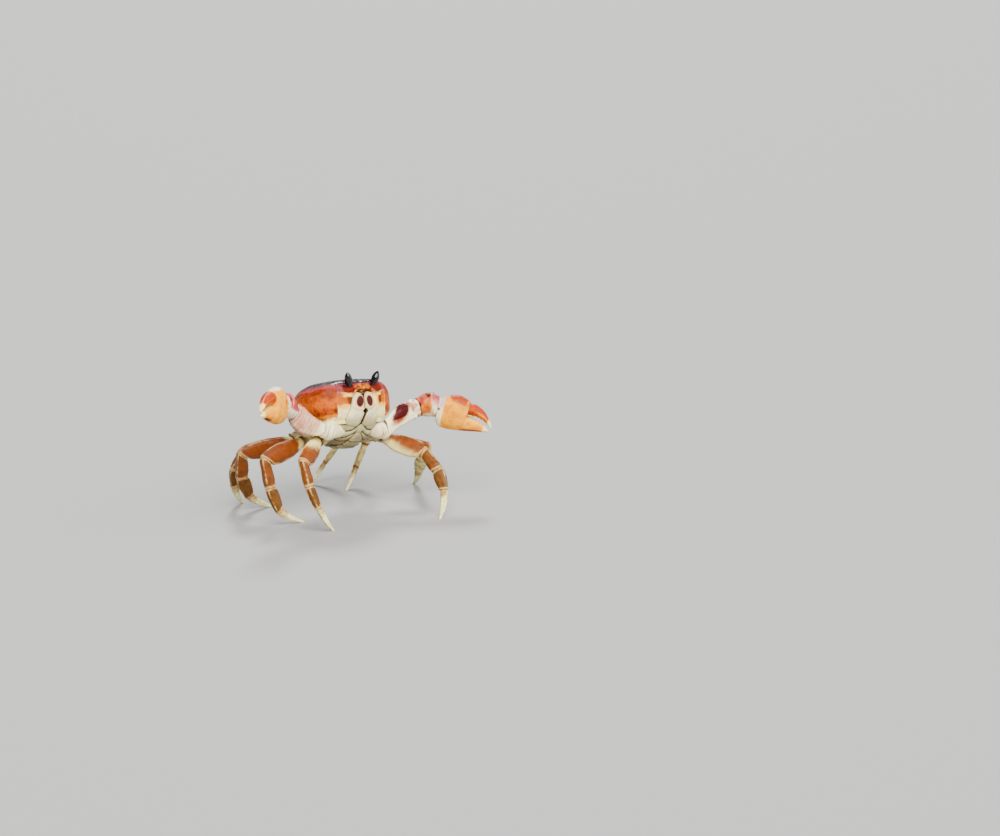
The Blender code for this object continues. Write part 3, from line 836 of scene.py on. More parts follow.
def carapace():
    """The shell over the back and the face, cut level all round below."""
    bm = body_ball(CARAPACE_CUTS)
    part_body(bm, SHELL_EDGE_Z + GAP / 2, True)
    points = read_points(bm)
    rims = []
    for side in SIDES:
        points, reach = carve_orbit(points, side)
        rims.append(reach)
    orbit = np.minimum(*rims)
    put_points(bm, points)
    x, y, z = points.T
    side = np.abs(x)
    folded = np.column_stack([side, y, z])
    outside = rise(orbit, 1.0, 1.08)
    amount = 0.35 * swell(orbit - 1.12, 0.2) * rise(orbit, 0.98, 1.05)
    top = rise(z, 3.0, 8.0)
    flat = folded * (1.0, 1.0, 0.0)
    for depth, width, path in BACK_GROOVES:
        amount -= depth * top * swell(path_distance(flat, path), width)
    # the gill chambers and the boss between the eyes and the grooves
    amount += 0.5 * top * rise(side, 7.0, 14.0) * rise(y, -6.0, 2.0)
    amount += 0.2 * top * swell(np.hypot(side, y + 8.5), 5.0)
    # rear rim
    amount += 0.3 * swell(z + 7.5, 1.0) * rise(y, 4.0, 12.0)
    amount -= 0.3 * swell(z + 5.8, 1.0) * rise(y, 4.0, 12.0)
    # face: an upright crease beside the cheek, and the lower edge's roll
    amount += 0.35 * swell(path_distance(folded, CHEEK_CREASE), 1.4)
    amount -= 0.3 * swell(path_distance(folded, CHEEK_FURROW), 1.5)
    amount += 0.3 * swell(z + 9.6, 1.1) * rise(-y, -6.0, 2.0)
    amount -= 0.2 * swell(z + 8.3, 1.4) * rise(-y, 4.0, 12.0) * rise(side, 8.0, 12.0)
    # brow plate with its overhanging lower edge, and the hollow for the small feelers
    face = rise(-y, 15.0, 17.0)
    brow = face * swell(x, 6.4) ** 0.4 * rise(z, 5.7, 6.3) * rise(11.0 - z, 0.0, 2.0)
    amount += 0.55 * brow * outside
    hollow = face * rise(5.6 - side, 0.0, 0.8) * rise(5.9 - z, 0.0, 0.5) * rise(z, 4.2, 4.7)
    amount -= 1.0 * hollow * (1.0 - 0.8 * swell(x, 0.9))
    amount += 0.3 * face * rise(7.5 - side, 0.0, 1.0) * swell(z - 3.9, 0.7)
    # the socket's sill, and the furrow round the mouth plates
    amount -= 0.3 * face * outside * swell(path_distance(folded, SOCKET_SILL), 1.0)
    mouth = mouth_gap(points)
    amount -= face * (0.7 * swell(mouth, 0.9) + 1.2 * rise(-mouth, 0.0, 1.2))
    amount += 0.12 * lumps(points, 5.0, 1) + 0.04 * lumps(points, 1.6, 2)
    amount *= rise(z, SHELL_EDGE_Z + 0.2, SHELL_EDGE_Z + 0.9)
    push_out(bm, amount)
    # the lower rim turns in a little
    edge = rise(SHELL_EDGE_Z + 0.75 - z, 0.0, 0.6)
    points = read_points(bm)
    outward = (points - np.array([0.0, WIDEST_Y, 0.0])) * (1.0, 1.0, 0.0)
    points = points - outward * (RIM_TUCK * edge**2)[:, None]
    put_points(bm, points)
    make_piece("carapace_shell", bm, BODY, "carapace", ["carapace"], **carapace_marks(points, orbit))


def carapace_marks(points, orbit):
    """Where each colour of the shell begins and ends."""
    x, y, z = points.T
    side = np.abs(x)
    right = x < 0.0
    drift = 0.8 * lumps(points, 6.0, 3) + 0.5 * lumps(points, 2.2, 4)
    level = z + drift + 11.0 * rise(y, -6.0, 14.0) * rise(25.0 - side, 0.0, 11.0)
    border = 15.0 + 0.35 * drift
    face = rise(border - side, -0.35, 0.35) * rise(-y, 13.0, 15.5)
    sideways = 1.0 - face
    flank = sideways * rise(5.6 - level, -1.2, 1.2)

    def blot(cx, cz, wide, high, soft=0.5):
        gap = np.hypot((x - cx) / wide, (z - cz) / high)
        return face * (1.0 - rise(gap + 0.12 * drift, 1.0 - soft, 1.0 + soft))

    mouth = mouth_gap(points)
    ragged = 0.5 * drift + 0.35 * lumps(points, 1.3, 14)
    band = 4.7 - 0.16 * (side - 6.0) + ragged
    low_band = 3.3 - 0.05 * side + 2.4 * rise(side, 11.0, 13.5) + ragged
    strip = face * rise(side, 5.4, 7.0) * rise(z + 1.0 + ragged, -1.1, 1.1) * rise(low_band - z, -0.5, 0.7)
    strip = strip * np.where(right, 1.0, rise(side, 9.2, 10.6))
    # painted shade: a dark arch round the tops of the mouth plates and dark blots under the brow's overhang
    arch = np.abs(np.hypot((side - 3.2) / 3.3, (z - 2.6) / 2.7) - 1.0) * 3.0
    arch = face * swell(arch, 0.75) * rise(z, 3.2, 4.6)
    under_eye = face * rise(side, 4.8, 7.0) * swell(z - 4.0 - 0.1 * (side - 6), 1.3) * 0.8
    cheek = face * rise(side, 6.4, 10.0) * rise(z + 4.8 + drift, 0.0, 3.6) * rise(4.0 - z, 0.0, 1.0)
    shaded = (blot(-2.1, 5.6, 1.4, 0.8), blot(2.6, 5.5, 1.5, 0.8), blot(1.0, 3.2, 0.9, 1.2))
    # dark blots at the foot of each eye socket: the shell's dark red, deepened as painted shade
    sockets = (blot(-8.4, 8.0, 3.2, 1.1, 0.4), blot(6.9, 8.1, 2.2, 1.1, 0.4))
    inner = np.where(right, rise(10.8 - side + drift, -1.2, 2.8), rise(13.4 - side + drift, -0.8, 2.4))
    seams = (
        # the first two paint shade in the furrow round the mouth plates and in the hollow behind them
        face * swell(mouth + 0.1, 0.55),
        face * rise(-mouth, 0.2, 0.9),
        face * rise(5.4 - side, 0, 0.8) * swell(z - 4.9, 0.6) * 0.7,
        rise(-y, 2.0, 8.0) * rise(SHELL_EDGE_Z + 0.7 - z, 0.0, 0.5),
    )
    return {
        "gloss": rise(level, 8.4, 9.6),
        "plum": rise(9.4 - level, -0.7, 0.7),
        "rose": sideways * rise(8.3 - level, -0.8, 0.8),
        "red": np.maximum(sideways * rise(6.9 - level, -1.0, 1.0), face * rise(8.5 - z + ragged, -0.6, 0.6)),
        "orange": sideways * rise(5.4 - level, -1.6, 1.6),
        "glow": flank * (0.46 + 0.3 * swell(level - 0.2, 3.8) - 0.08 * swell(level + 4.0, 2.0)),
        "ember": flank * (0.2 + 0.16 * swell(level + 3.6, 2.4) + 0.3 * rise(level, 3.0, 5.0)),
        "amber": sideways * rise(-5.6 - level, -0.9, 0.9),
        "pale": np.maximum(sideways * rise(-7.2 - level, -0.9, 0.9), face * rise(band - z, -0.5, 0.6)),
        "brow": blot(0.2, 7.1, 5.2, 1.9, 0.4),
        "yolk": np.maximum.reduce([cheek, under_eye, 0.8 * blot(0.4, 7.3, 2.4, 1.2, 0.6)]),
        "strip": strip,
        "rust": strip * inner,
        "blood": np.maximum(blot(-7.9, 6.4, 3.6, 1.7), blot(9.9, 6.3, 2.9, 1.9)),
        "mauve": 0.62 * np.maximum(blot(-13.2, 5.8, 2.0, 3.1), blot(14.0, 6.6, 1.3, 3.0)),
        "dusk": np.maximum.reduce([arch, *shaded]),
        # hollow darkens the eye sockets: partly the shell's dark red, partly painted shade
        "hollow": np.maximum.reduce([1.0 - rise(orbit + 0.25 * drift, 0.9, 1.75), *sockets]),
        "seam": np.maximum.reduce(seams),
    }


def mouth_gap(points):
    """How far each point is outside the outline of the two mouth plates."""
    rows = np.array(MAXILLIPED)[::-1]
    height = points[:, 2]
    outer = np.interp(height, rows[:, 0], rows[:, 3])
    sideways = np.abs(points[:, 0]) - outer
    return np.maximum(sideways, np.maximum(height - rows[-1, 0] - 0.4, rows[0, 0] - height))


def mouth_plate(side):
    """One of the two plates that close the mouth, with the dark oval on its upper part."""
    rows = np.array([MAXILLIPED_TOP, *MAXILLIPED, MAXILLIPED_FOOT])
    run = running_total(np.hypot(np.diff(rows[:, 0]), np.diff(rows[:, 3] - rows[:, 2]) / 2))
    at = np.linspace(0.0, run[-1], MOUTH_RINGS)
    height, front, inner, outer = (eased(at, run, rows[:, column]) for column in range(4))
    bm, ring, turn = round_tube(MOUTH_RINGS, MOUTH_ROUND)
    across = power(np.cos(turn), 0.72) * ((outer - inner) / 2)[ring]
    thickness = (MAXILLIPED_THICKNESS / 2 * end_rounding(at, 1.4, 1.6, 0.04))[ring]
    depth = power(np.sin(turn), 0.62) * thickness
    x = ((inner + outer) / 2)[ring] + across
    y = front[ring] + MAXILLIPED_THICKNESS / 2 + depth + across * sin(radians(MAXILLIPED_TURN))
    z = height[ring]
    facing = depth < 0.0
    flat = np.column_stack([x, z, np.zeros(len(x))])
    joint, furrow, brim = (path_distance(flat, path) for path in MOUTH_LINES)
    oval = np.hypot((x - 3.1 + 0.12 * z) / 2.1, (z - 0.3) / 2.75)
    notch = swell(z + 4.4, 1.3) * rise(2.2 - x, 0.0, 1.4)
    lean = side_sign(side) * (0.5 - 1.5 * rise(-z, 4.5, 9.5)) * rise(-z, 3.0, 5.0)
    x = x + 1.0 * notch + lean * rise(5.0 - x, 0.0, 4.0)
    points = np.column_stack([x * side_sign(side), y, z])
    put_points(bm, points)
    bmesh.ops.recalc_face_normals(bm, faces=bm.faces)
    amount = 0.06 * lumps(points, 1.2, 5) + 0.12 * lumps(points, 3.5, 12)
    amount = amount - 0.25 * swell(joint, 0.9) - 0.2 * swell(furrow, 0.9) - 0.2 * swell(brim, 0.8)
    amount = amount - 0.25 * (1.0 - rise(oval, 0.5, 1.2)) + 0.12 * swell(oval - 1.3, 0.3)
    push_out(bm, np.where(facing, amount, 0.0))
    seam = np.maximum(0.5 * swell(joint, 0.5), 0.5 * swell(furrow, 0.5)) * facing
    # painted shade: each plate's inner border darkens beside the slit between the two plates
    edge = rise(1.15 + 0.9 * notch - x + lean, 0.0, 0.5) * rise(-z, 2.6, 3.6) * rise(z + 10.2, 0.0, 1.0)
    marks = {
        "oval": (1.0 - rise(oval, 0.6, 1.4)) * facing,
        "halo": np.maximum(swell(oval - 1.25, 0.6), 0.8 * rise(z, 2.6, 4.2)) * facing,
        "seam": np.maximum(seam, edge),
        # painted shade: each plate darkens towards its lower end
        "dusk": rise(-z, 4.0, 10.5),
    }
    make_piece(f"mouth_plate_{side}", bm, BODY, "mouth", [f"maxilliped_{side}"], **marks)


# The grooves of the breastplate: the y of each between two legs and near the middle, and two more ahead
PLATE_GROOVES = ((-8.8, -11.0), (-2.3, -4.0), (3.8, 3.2), (9.6, 9.6))
FRONT_GROOVES = (
    ((1.2, -17.3, 0), (4.5, -15.6, 0), (9.0, -14.6, 0)),
    ((1.8, -15.0, 0), (4.8, -13.6, 0), (9.0, -11.6, 0)),
)


def breastplate():
    """The pale plates under the body, parted by grooves that run out between the legs."""
    bm = body_ball(BREASTPLATE_CUTS)
    part_body(bm, SHELL_EDGE_Z - GAP / 2, False)
    points = read_points(bm)
    x, y, z = points.T
    side = np.abs(x)
    flat = np.column_stack([side, y, np.zeros(len(x))])
    amount = 0.05 * lumps(points, 2.5, 6) + 0.12 * lumps(points, 5.0, 7)
    paths = [((4.0, y_in, 0), (10.0, y_out, 0), (17.0, y_out, 0)) for y_out, y_in in PLATE_GROOVES]
    lines = [(path_distance(flat, path), 0.5, 1.0, 0.55) for path in paths]
    lines += [(path_distance(flat, path), 0.5, 0.9, 0.5) for path in FRONT_GROOVES]
    lines.append((np.abs(tail_edge(points) - 0.1), 0.6, 1.0, 0.6))
    seam = np.zeros(len(points))
    for gap, depth, width, seam_width in lines:
        amount -= depth * swell(gap, width)
        seam = np.maximum(seam, swell(gap, seam_width))
    amount *= rise(SHELL_EDGE_Z - z, 0.2, 0.8)
    push_out(bm, amount)
    # painted shade: the breastplate darkens towards its lowest part
    make_piece("breastplate", bm, BODY, "belly", ["sternum"], dusk=rise(-z, 14.0, 18.5), seam=seam)


def tail_path():
    """The middle line of the folded tail, along the body's underside."""
    angles = np.radians([station[0] for station in ABDOMEN])
    toward = np.column_stack([np.zeros(len(angles)), np.sin(angles), -np.cos(angles)])
    return np.array([body_point(direction) for direction in toward])


def body_point(direction):
    """Where the body's middle plane meets its surface, for a point of the unit ball."""
    longitude = atan2(direction[1], direction[0])
    latitude = asin(max(-1.0, min(1.0, direction[2])))
    front = max(0.0, -sin(longitude)) ** 2
    back = max(0.0, sin(longitude)) ** 2
    table = CROWN_SQUARENESS if latitude > 0.0 else BELLY_SQUARENESS
    upright = front * table["front"] + back * table["back"] + (1 - front - back) * table["side"]
    spread = abs(cos(latitude)) ** (2 / upright)
    height = float(power(sin(latitude), 2 / upright)) * (CROWN if latitude > 0 else BELLY)
    end = "front" if direction[1] < 0.0 else "back"
    reach = FRONT_REACH if end == "front" else BACK_REACH
    plan = 2 / PLAN_SQUARENESS[end]
    y = WIDEST_Y + reach * float(power(sin(longitude), plan)) * spread
    return (0.0, y, height)


def tail_edge(points):
    """How far each point is from the outline of the folded tail."""
    path = tail_path()
    widths = np.array([station[1] for station in ABDOMEN])
    halves = np.interp(points[:, 1], path[:, 1], widths, left=0.0, right=0.0)
    under = np.where(halves > 0.0, np.abs(points[:, 0]) - halves, 9.0)
    return under - 0.3


def tail_flap():
    """The tail folded under the body: a band of seven rings."""
    run, at, middle, along = smooth_path(tail_path(), TAIL_RINGS)
    half, thick = (eased(at, run, np.array([station[column] for station in ABDOMEN])) for column in (1, 2))
    rounding = end_rounding(at, 1.2, 1.0, 0.02)
    across = np.column_stack([np.zeros(len(at)), -along[:, 2], along[:, 1]])
    bm, ring, turn = round_tube(TAIL_RINGS, TAIL_ROUND)
    wide = power(np.cos(turn), 2 / 2.6) * (half * rounding)[ring]
    deep = power(np.sin(turn), 2 / 2.2) * (thick * (0.35 + 0.65 * rounding))[ring]
    points = middle[ring] + across[ring] * deep[:, None]
    points[:, 0] += wide
    put_points(bm, points)
    bmesh.ops.recalc_face_normals(bm, faces=bm.faces)
    seams = np.full(len(points), 9.0)
    for seam in TAIL_SEAMS:
        seams = np.minimum(seams, np.abs(at[ring] - seam - 0.25 * (wide / 5.0) ** 2))
    push_out(bm, 0.06 * lumps(points, 1.5, 8) - 0.45 * swell(seams, 0.55))
    # painted shade over the whole tail flap, deeper along the creases between its rings
    dusk = 0.55 + 0.3 * swell(seams, 0.9)
    make_piece("tail_flap", bm, BODY, "belly", ["abdomen"], dusk=dusk, seam=swell(seams, 0.4))


def eye(side):
    """A short thick stalk, and the glossy eye that caps it."""
    bm, ring, turn = round_tube(EYE_RINGS, EYE_ROUND)
    x, _, high, half = profile_rows(EYE_SHELL, EYE_RINGS)[ring].T
    points = np.column_stack([x, half * np.cos(turn), high * np.sin(turn)])
    border = x - 2.6 + 0.6 * np.sin(turn)
    put_points(bm, points)
    bmesh.ops.recalc_face_normals(bm, faces=bm.faces)
    rough = 0.04 * lumps(points, 0.7, 9) * (1 - rise(x, 2.4, 2.9))
    push_out(bm, 0.1 * rise(border, -0.1, 0.25) - 0.12 * swell(border + 0.1, 0.3) + rough)
    placing = BODY @ eye_frame(side)
    make_piece(f"eye_{side}_bulb", bm, placing, "eye", [f"eye_{side}"], cornea=rise(border, -0.1, 0.15))


def feeler(side):
    """A short jointed feeler beside the brow."""
    path = np.array([mirrored(place, side) for place in ANTENNA])
    run, at, middle, along = smooth_path(path, FEELER_RINGS)
    joints = np.sin(at * 9.0) > 0.55
    radius = eased(at, run, np.array(ANTENNA_RADII)) * (1 - 0.14 * joints) * end_rounding(at, 0.3, 0.3, 0.05)
    across = np.cross(along, (0.0, 0.0, 1.0))
    across /= np.linalg.norm(across, axis=1)[:, None]
    upward = np.cross(across, along)
    bm, ring, turn = round_tube(FEELER_RINGS, FEELER_ROUND)
    round_about = across[ring] * np.cos(turn)[:, None] + upward[ring] * np.sin(turn)[:, None]
    put_points(bm, middle[ring] + radius[ring, None] * round_about)
    make_piece(f"feeler_{side}", bm, BODY, "feeler", [f"antenna_{side}"])


# ---------------------------------------------------------------- legs


def ridges(shell, *rows):
    """Lengthwise ridges: degrees round the segment, where 90 is its back, then width and height."""
    round_about = np.degrees(shell.turn)
    return sum(height * swell((round_about - place + 180) % 360 - 180, width) for place, width, height in rows)


def leg_shell(pair, segment):
    """One segment of a leg, with its ridges and the rims at its joints."""
    hip, toe = segment.name == "hip", segment.name == "dactyl"
    table, squareness = LEG_SHAPES[segment.name]
    rings = domed(table, segment.length, 1.0 if hip else LEG_SIZES[pair])
    if toe:
        rings = rounded_tip(rings[: -len(DOME)])
    shell = Shell(rings, segment, LEG_ROUND, LEG_SPACING, squareness, 0.0 if hip else FLEXOR_NOTCH)
    ends = rise(shell.from_start, 0.2, 2.0) * rise(shell.from_end, 0.2, 2.0)
    amount = 0.05 * lumps(shell.points, 1.6, pair) + 0.1 * lumps(shell.points, 4.0, pair + 5)
    if segment.end is not None:
        amount = amount + 0.14 * swell(shell.from_end - 0.5, 0.7) - 0.14 * swell(shell.from_end - 1.7, 0.8)
    if segment.start is not None:
        amount -= 0.12 * swell(shell.from_start - 1.0, 0.9)
    if segment.name == "merus":
        amount += ends * ridges(shell, (90, 16, 0.3), (300, 14, 0.25), (240, 14, 0.2))
        amount += 0.1 * ends * swell(shell.up - 1.0, 0.25) * lumps(shell.points, 0.9, 11)
    if segment.name in ("carpus", "propodus"):
        amount += ends * ridges(shell, (60, 16, 0.22), (120, 16, 0.22), (180, 30, -0.18))
        for row in ((0, 30, -0.18), (285, 14, 0.2)):
            amount += ends * ridges(shell, row)
    if toe:
        for angle in (30, 90, 150, 210, 270, 330):
            amount += 0.12 * rise(shell.from_start, 0.5, 2.0) * ridges(shell, (angle, 20, 1.0))
    shell.swell_by(amount)
    if toe:  # the tip ends on the floor
        world = moved(shell.points, segment.frame)
        world[:, 2] = np.maximum(world[:, 2], 0.0)
        shell.points = moved(world, segment.frame.inverted())
        put_points(shell.bm, shell.points)
    return shell


# The pale lines along a segment's ridges: their width and where they run, in degrees
LEG_LINES = {"merus": (15, (90, 240, 300)), "carpus": (17, (60, 120, 285)), "propodus": (17, (60, 120, 285))}


def leg_marks(side, pair, segment, shell):
    """Where a leg is pale, brown, orange or lined along its ridges."""
    along, up, points = shell.along, shell.up, shell.points
    grain = 0.5 * lumps(points, 3.0, 21) + 0.5 * lumps(points, 1.3, 22)
    wide, places = LEG_LINES.get(segment.name, (20, (90, 270)))
    edge = np.maximum.reduce([ridges(shell, (place, wide, 1.0)) for place in places])
    edge = edge * (0.68 + 0.55 * lumps(points, 1.3, 23) + 0.35 * lumps(points, 4.0, 25))
    rims = np.maximum(swell(shell.from_start, 1.5), swell(shell.from_end, 1.9) * (segment.end is not None))
    edge = np.maximum(edge, rims * (0.8 + 0.35 * grain))
    pale = np.zeros(len(along))
    # on the merus, which keeps this, the underside is darkened: painted shade
    brown = 0.45 * rise(-up + 0.6 * grain, 0.1, 0.8)
    ember = 0.5 + 0.5 * lumps(points, 4.5, 24) + 0.3 * (1.0 - np.abs(up))
    if segment.name == "merus":
        if pair > 1:
            pale = rise(0.12 - along + 0.1 * grain, -0.1, 0.1)
        elif side == "left":
            pale = rise(0.15 - 0.9 * along - up + 0.25 * grain, -0.7, 0.7)
        else:
            # front right merus: cream shell near its root, with a painted highlight towards its upper side
            pale = rise(0.3 - along + 0.25 * up + 0.15 * grain, -0.3, 0.3)
    if segment.name in ("carpus", "propodus"):
        start = 0.75 if segment.name == "propodus" else 0.42
        brown = start + 0.35 * grain
        if side == "left" and pair > 1:
            pale = 0.62 + 0.5 * grain
    if segment.name == "dactyl":
        brown = 0.6 * rise(0.3 - along + 0.1 * grain, -0.2, 0.2) + 0.25 * grain
    if segment.name == "hip":
        pale = np.ones(len(along))
    seam = 0.55 * swell(shell.from_start, 0.5)
    edge = np.clip(edge, 0, 1)
    return {"edge": edge, "pale": pale, "brown": brown, "ember": ember, "tip": rise(along, 0.86, 1.0), "seam": seam}


def skin_at(bm, segment, half_height, half_width, thickness):
    """Add a soft pad of skin that fills the joint at a segment's far end."""
    back = segment.frame.to_3x3() @ Vector((0.0, 0.0, 1.0))
    placed = frame_along(segment.end.point, segment.end.normal, back)
    pad = ball(SKIN_CUTS)
    put_points(pad, read_points(pad) * (thickness, half_width, half_height))
    bmesh.ops.transform(pad, matrix=placed, verts=pad.verts)
    mesh = bpy.data.meshes.new("pad")
    pad.to_mesh(mesh)
    pad.free()
    bm.from_mesh(mesh)
    bpy.data.meshes.remove(mesh)


def add_spine(bm, base, direction, length, radius):
    """Add one thorn, a five-sided cone with its foot just under the shell."""
    placed = Vector(direction).to_track_quat("Z", "Y").to_matrix().to_4x4()
    placed.translation = Vector(base) + Vector(direction) * (length / 2 - 0.1)
    thin = radius * 0.15
    bmesh.ops.create_cone(
        bm, cap_ends=True, segments=THORN_SIDES, radius1=radius, radius2=thin, depth=length, matrix=placed
    )


def leg_spines(bm, segment, shell, rows, spacing, length, radius):
    """Rows of short thorns along a segment, leaning towards its tip."""
    rng = np.random.default_rng(7)
    points, normals = shell.points, read_normals(shell.bm)
    total = shell.last_body - shell.first_body
    turn = segment.frame.to_3x3()
    for angle in rows:
        side_index = int(round(angle / 360 * shell.sides)) % shell.sides
        span = shell.from_end[(shell.side == side_index) & (shell.ring == shell.first_body)][0]
        place = 0.8 + rng.random() * spacing
        while place < span - 0.8:
            ring = shell.first_body + int(round(place / span * total))
            pick = np.flatnonzero((shell.ring == ring) & (shell.side == side_index))[0]
            normal = Vector(normals[pick])
            direction = (turn @ (normal + Vector((0.9, 0.0, 0.0)))).normalized()
            base = segment.frame @ Vector(points[pick])
            taper = 1.0 - 0.5 * place / span
            size = length * (0.8 + 0.4 * rng.random())
            add_spine(bm, base, direction, size * (0.6 + 0.4 * taper), radius * taper)
            place += spacing * (0.8 + 0.4 * rng.random())


# Rows of thorns: degrees round the segment, then spacing, length and radius
LEG_THORNS = {
    "propodus": ((60, 120, 285), 2.2, 0.6, 0.13),
    "dactyl": ((30, 90, 150, 210, 330), 1.5, 0.75, 0.16),
}


def build_leg(side, pair):
    """The shells of one leg, the skin in its joints and its thorns."""
    name = f"leg_{side}_{pair}"
    skin, spines = bmesh.new(), bmesh.new()
    size = LEG_SIZES[pair]
    for segment in leg_segments(side, pair):
        shell = leg_shell(pair, segment)
        if segment.name in LEG_THORNS:
            leg_spines(spines, segment, shell, *LEG_THORNS[segment.name])
        slot = {"dactyl": "toe", "hip": "hip"}.get(segment.name, "leg")
        node = f"{name}_{segment.name}"
        make_piece(f"{node}_shell", shell.bm, segment.frame, slot, [node], **leg_marks(side, pair, segment, shell))
        if segment.end is not None:
            tall, wide = LEG_PADS[segment.name]
            skin_at(skin, segment, tall * size, wide * size, LEG_SKIN_THICKNESS)
    make_piece(f"{name}_skin", skin, Matrix(), "skin", [f"{name}_hip"])
    make_piece(f"{name}_thorns", spines, Matrix(), "thorn", [f"{name}_dactyl"])


# ---------------------------------------------------------------- claws


def claw_rings(side, segment):
    """The cross sections of one claw segment, with its ends rounded."""
    if segment.name == "base":
        return domed(CLAW_BASE, segment.length)
    if segment.name == "merus":
        return bowed(domed(CLAW_MERUS, segment.length), segment.length, CLAW_BOW[side])
    if segment.name == "carpus":
        return domed(CLAW_CARPUS, segment.length)
    if segment.name == "hand":
        return rounded_tip(domed(HAND, 1.0)[: -len(DOME)])
    return rounded_tip(rounded_root(FINGER))


def claw_shell(side, segment):
    """One segment of a claw, with its ridges, knobs, teeth and folds."""
    left = side == "left"
    squareness = CLAW_SQUARENESS[segment.name]
    shell = Shell(claw_rings(side, segment), segment, CLAW_ROUND, CLAW_SPACING, squareness)
    x, up, points = shell.points[:, 0], shell.up, shell.points
    amount = 0.08 * lumps(points, 5.0, 31) + 0.04 * lumps(points, 1.3, 32)
    ends = rise(shell.from_start, 0.2, 2.5) * rise(shell.from_end, 0.2, 2.5)
    if segment.end is not None:
        amount = amount + 0.2 * swell(shell.from_end - 0.6, 0.9) - 0.2 * swell(shell.from_end - 2.1, 0.9)
    if segment.start is not None:
        amount -= 0.15 * swell(shell.from_start - 1.3, 1.0)
    if segment.name == "base":
        if not left:
            amount += 0.9 * swell(shell.from_end - 5.0, 4.5)
        for place, width in BASE_FOLDS[side]:
            amount -= FOLD_DEPTH[side] * swell(fold_gap(shell, place), width)
    if segment.name == "merus":
        amount -= 0.55 * ends if left else 0.7 * swell(shell.along - 0.3, 0.6) * rise(up, -0.6, 0.4)
        amount += ends * ridges(shell, (90, 20, 0.4), (215, 18, 0.3), (320, 18, 0.3))
        knobs = rise(lumps(points, 1.3, 33), 0.1, 0.7)
        crumbs = rise(lumps(points, 2.4, 37), -0.1, 0.5) * (0.8 if left else 0.2)
        amount += (0.3 * knobs + crumbs) * swell(shell.from_end - 2.6, 3.0)
        amount += 0.12 * knobs * np.maximum(swell(up - 1.0, 0.3), swell(up + 0.9, 0.4))
    if segment.name == "carpus":
        knobs = rise(lumps(points, 1.6, 34), 0.0, 0.7)
        crest = carpus_crest(side, shell)
        amount += 0.22 * knobs * rise(crest, 0.2, 0.9)
        if not left:
            amount += 1.1 * rise(crest, 0.1, 0.9) * swell(shell.along - 0.55, 0.5)
        inner = np.hypot(shell.from_end - 4.0, (up - 0.15) * 5.0)
        facing = shell.out * side_sign(side) < 0
        amount += 1.1 * swell(inner, 2.6) ** 1.5 * facing
    if segment.name == "hand":
        amount += palm_relief(shell)
    if segment.name == "finger":
        amount += tooth_relief(shell, FINGER_TEETH, -1.0)
        amount += 0.15 * ridges(shell, (90, 16, 1.0)) * rise(x, 15.0, 17.0)
        amount -= 0.12 * ridges(shell, (40, 14, 1.0), (140, 14, 1.0)) * rise(x, 16.0, 18.0)
    shell.swell_by(amount)
    return shell


# The folds of a claw's base: how far from its outer end each lies, and its width
BASE_FOLDS = {"left": ((1.3, 0.45), (2.5, 0.5)), "right": ((1.8, 0.5), (4.4, 0.6), (6.6, 0.5))}
FOLD_DEPTH = {"left": 0.25, "right": 0.42}
PALM_TEETH = (17.2, 19.0, 21.0, 22.8, 24.6)
FINGER_TEETH = (17.6, 19.6, 21.6, 23.4, 25.0)


def fold_gap(shell, place):
    """Distance from a fold, which bends back above and below the middle."""
    bend = 0.3 * shell.up + 1.5 * shell.up**2 + 0.5 * lumps(shell.points, 3.0, 36)
    return shell.from_end - place - bend


def carpus_crest(side, shell):
    """1 on the highest line of the wrist segment, and -1 on its lowest."""
    turned = radians(CLAW_ROLL[side])
    return shell.up * cos(turned) + shell.out * sin(turned)


def tooth_relief(shell, places, facing):
    """Blunt teeth along the edge of a finger; facing is 1 for teeth that point up."""
    x = shell.points[:, 0]
    amount = np.zeros(len(x))
    edge = rise(shell.up * facing, 0.72, 0.98)
    for index, place in enumerate(places):
        tall = 0.55 if index % 2 == 0 else 0.35
        amount += tall * swell(x - place, 0.95) * edge
    return amount


def palm_relief(shell):
    """The swollen palm, and the teeth and ridges of the fixed finger."""
    x = shell.points[:, 0]
    amount = 0.25 * swell(x - 7.0, 6.0) * rise(np.abs(shell.out), 0.6, 1.0)
    amount += tooth_relief(shell, PALM_TEETH, 1.0) * rise(x, 16.2, 17.0)
    amount += 0.2 * ridges(shell, (270, 16, 1.0)) * rise(x, 12.0, 17.0)
    amount -= 0.15 * ridges(shell, (320, 14, 1.0), (220, 14, 1.0)) * rise(x, 14.0, 18.0)
    return amount


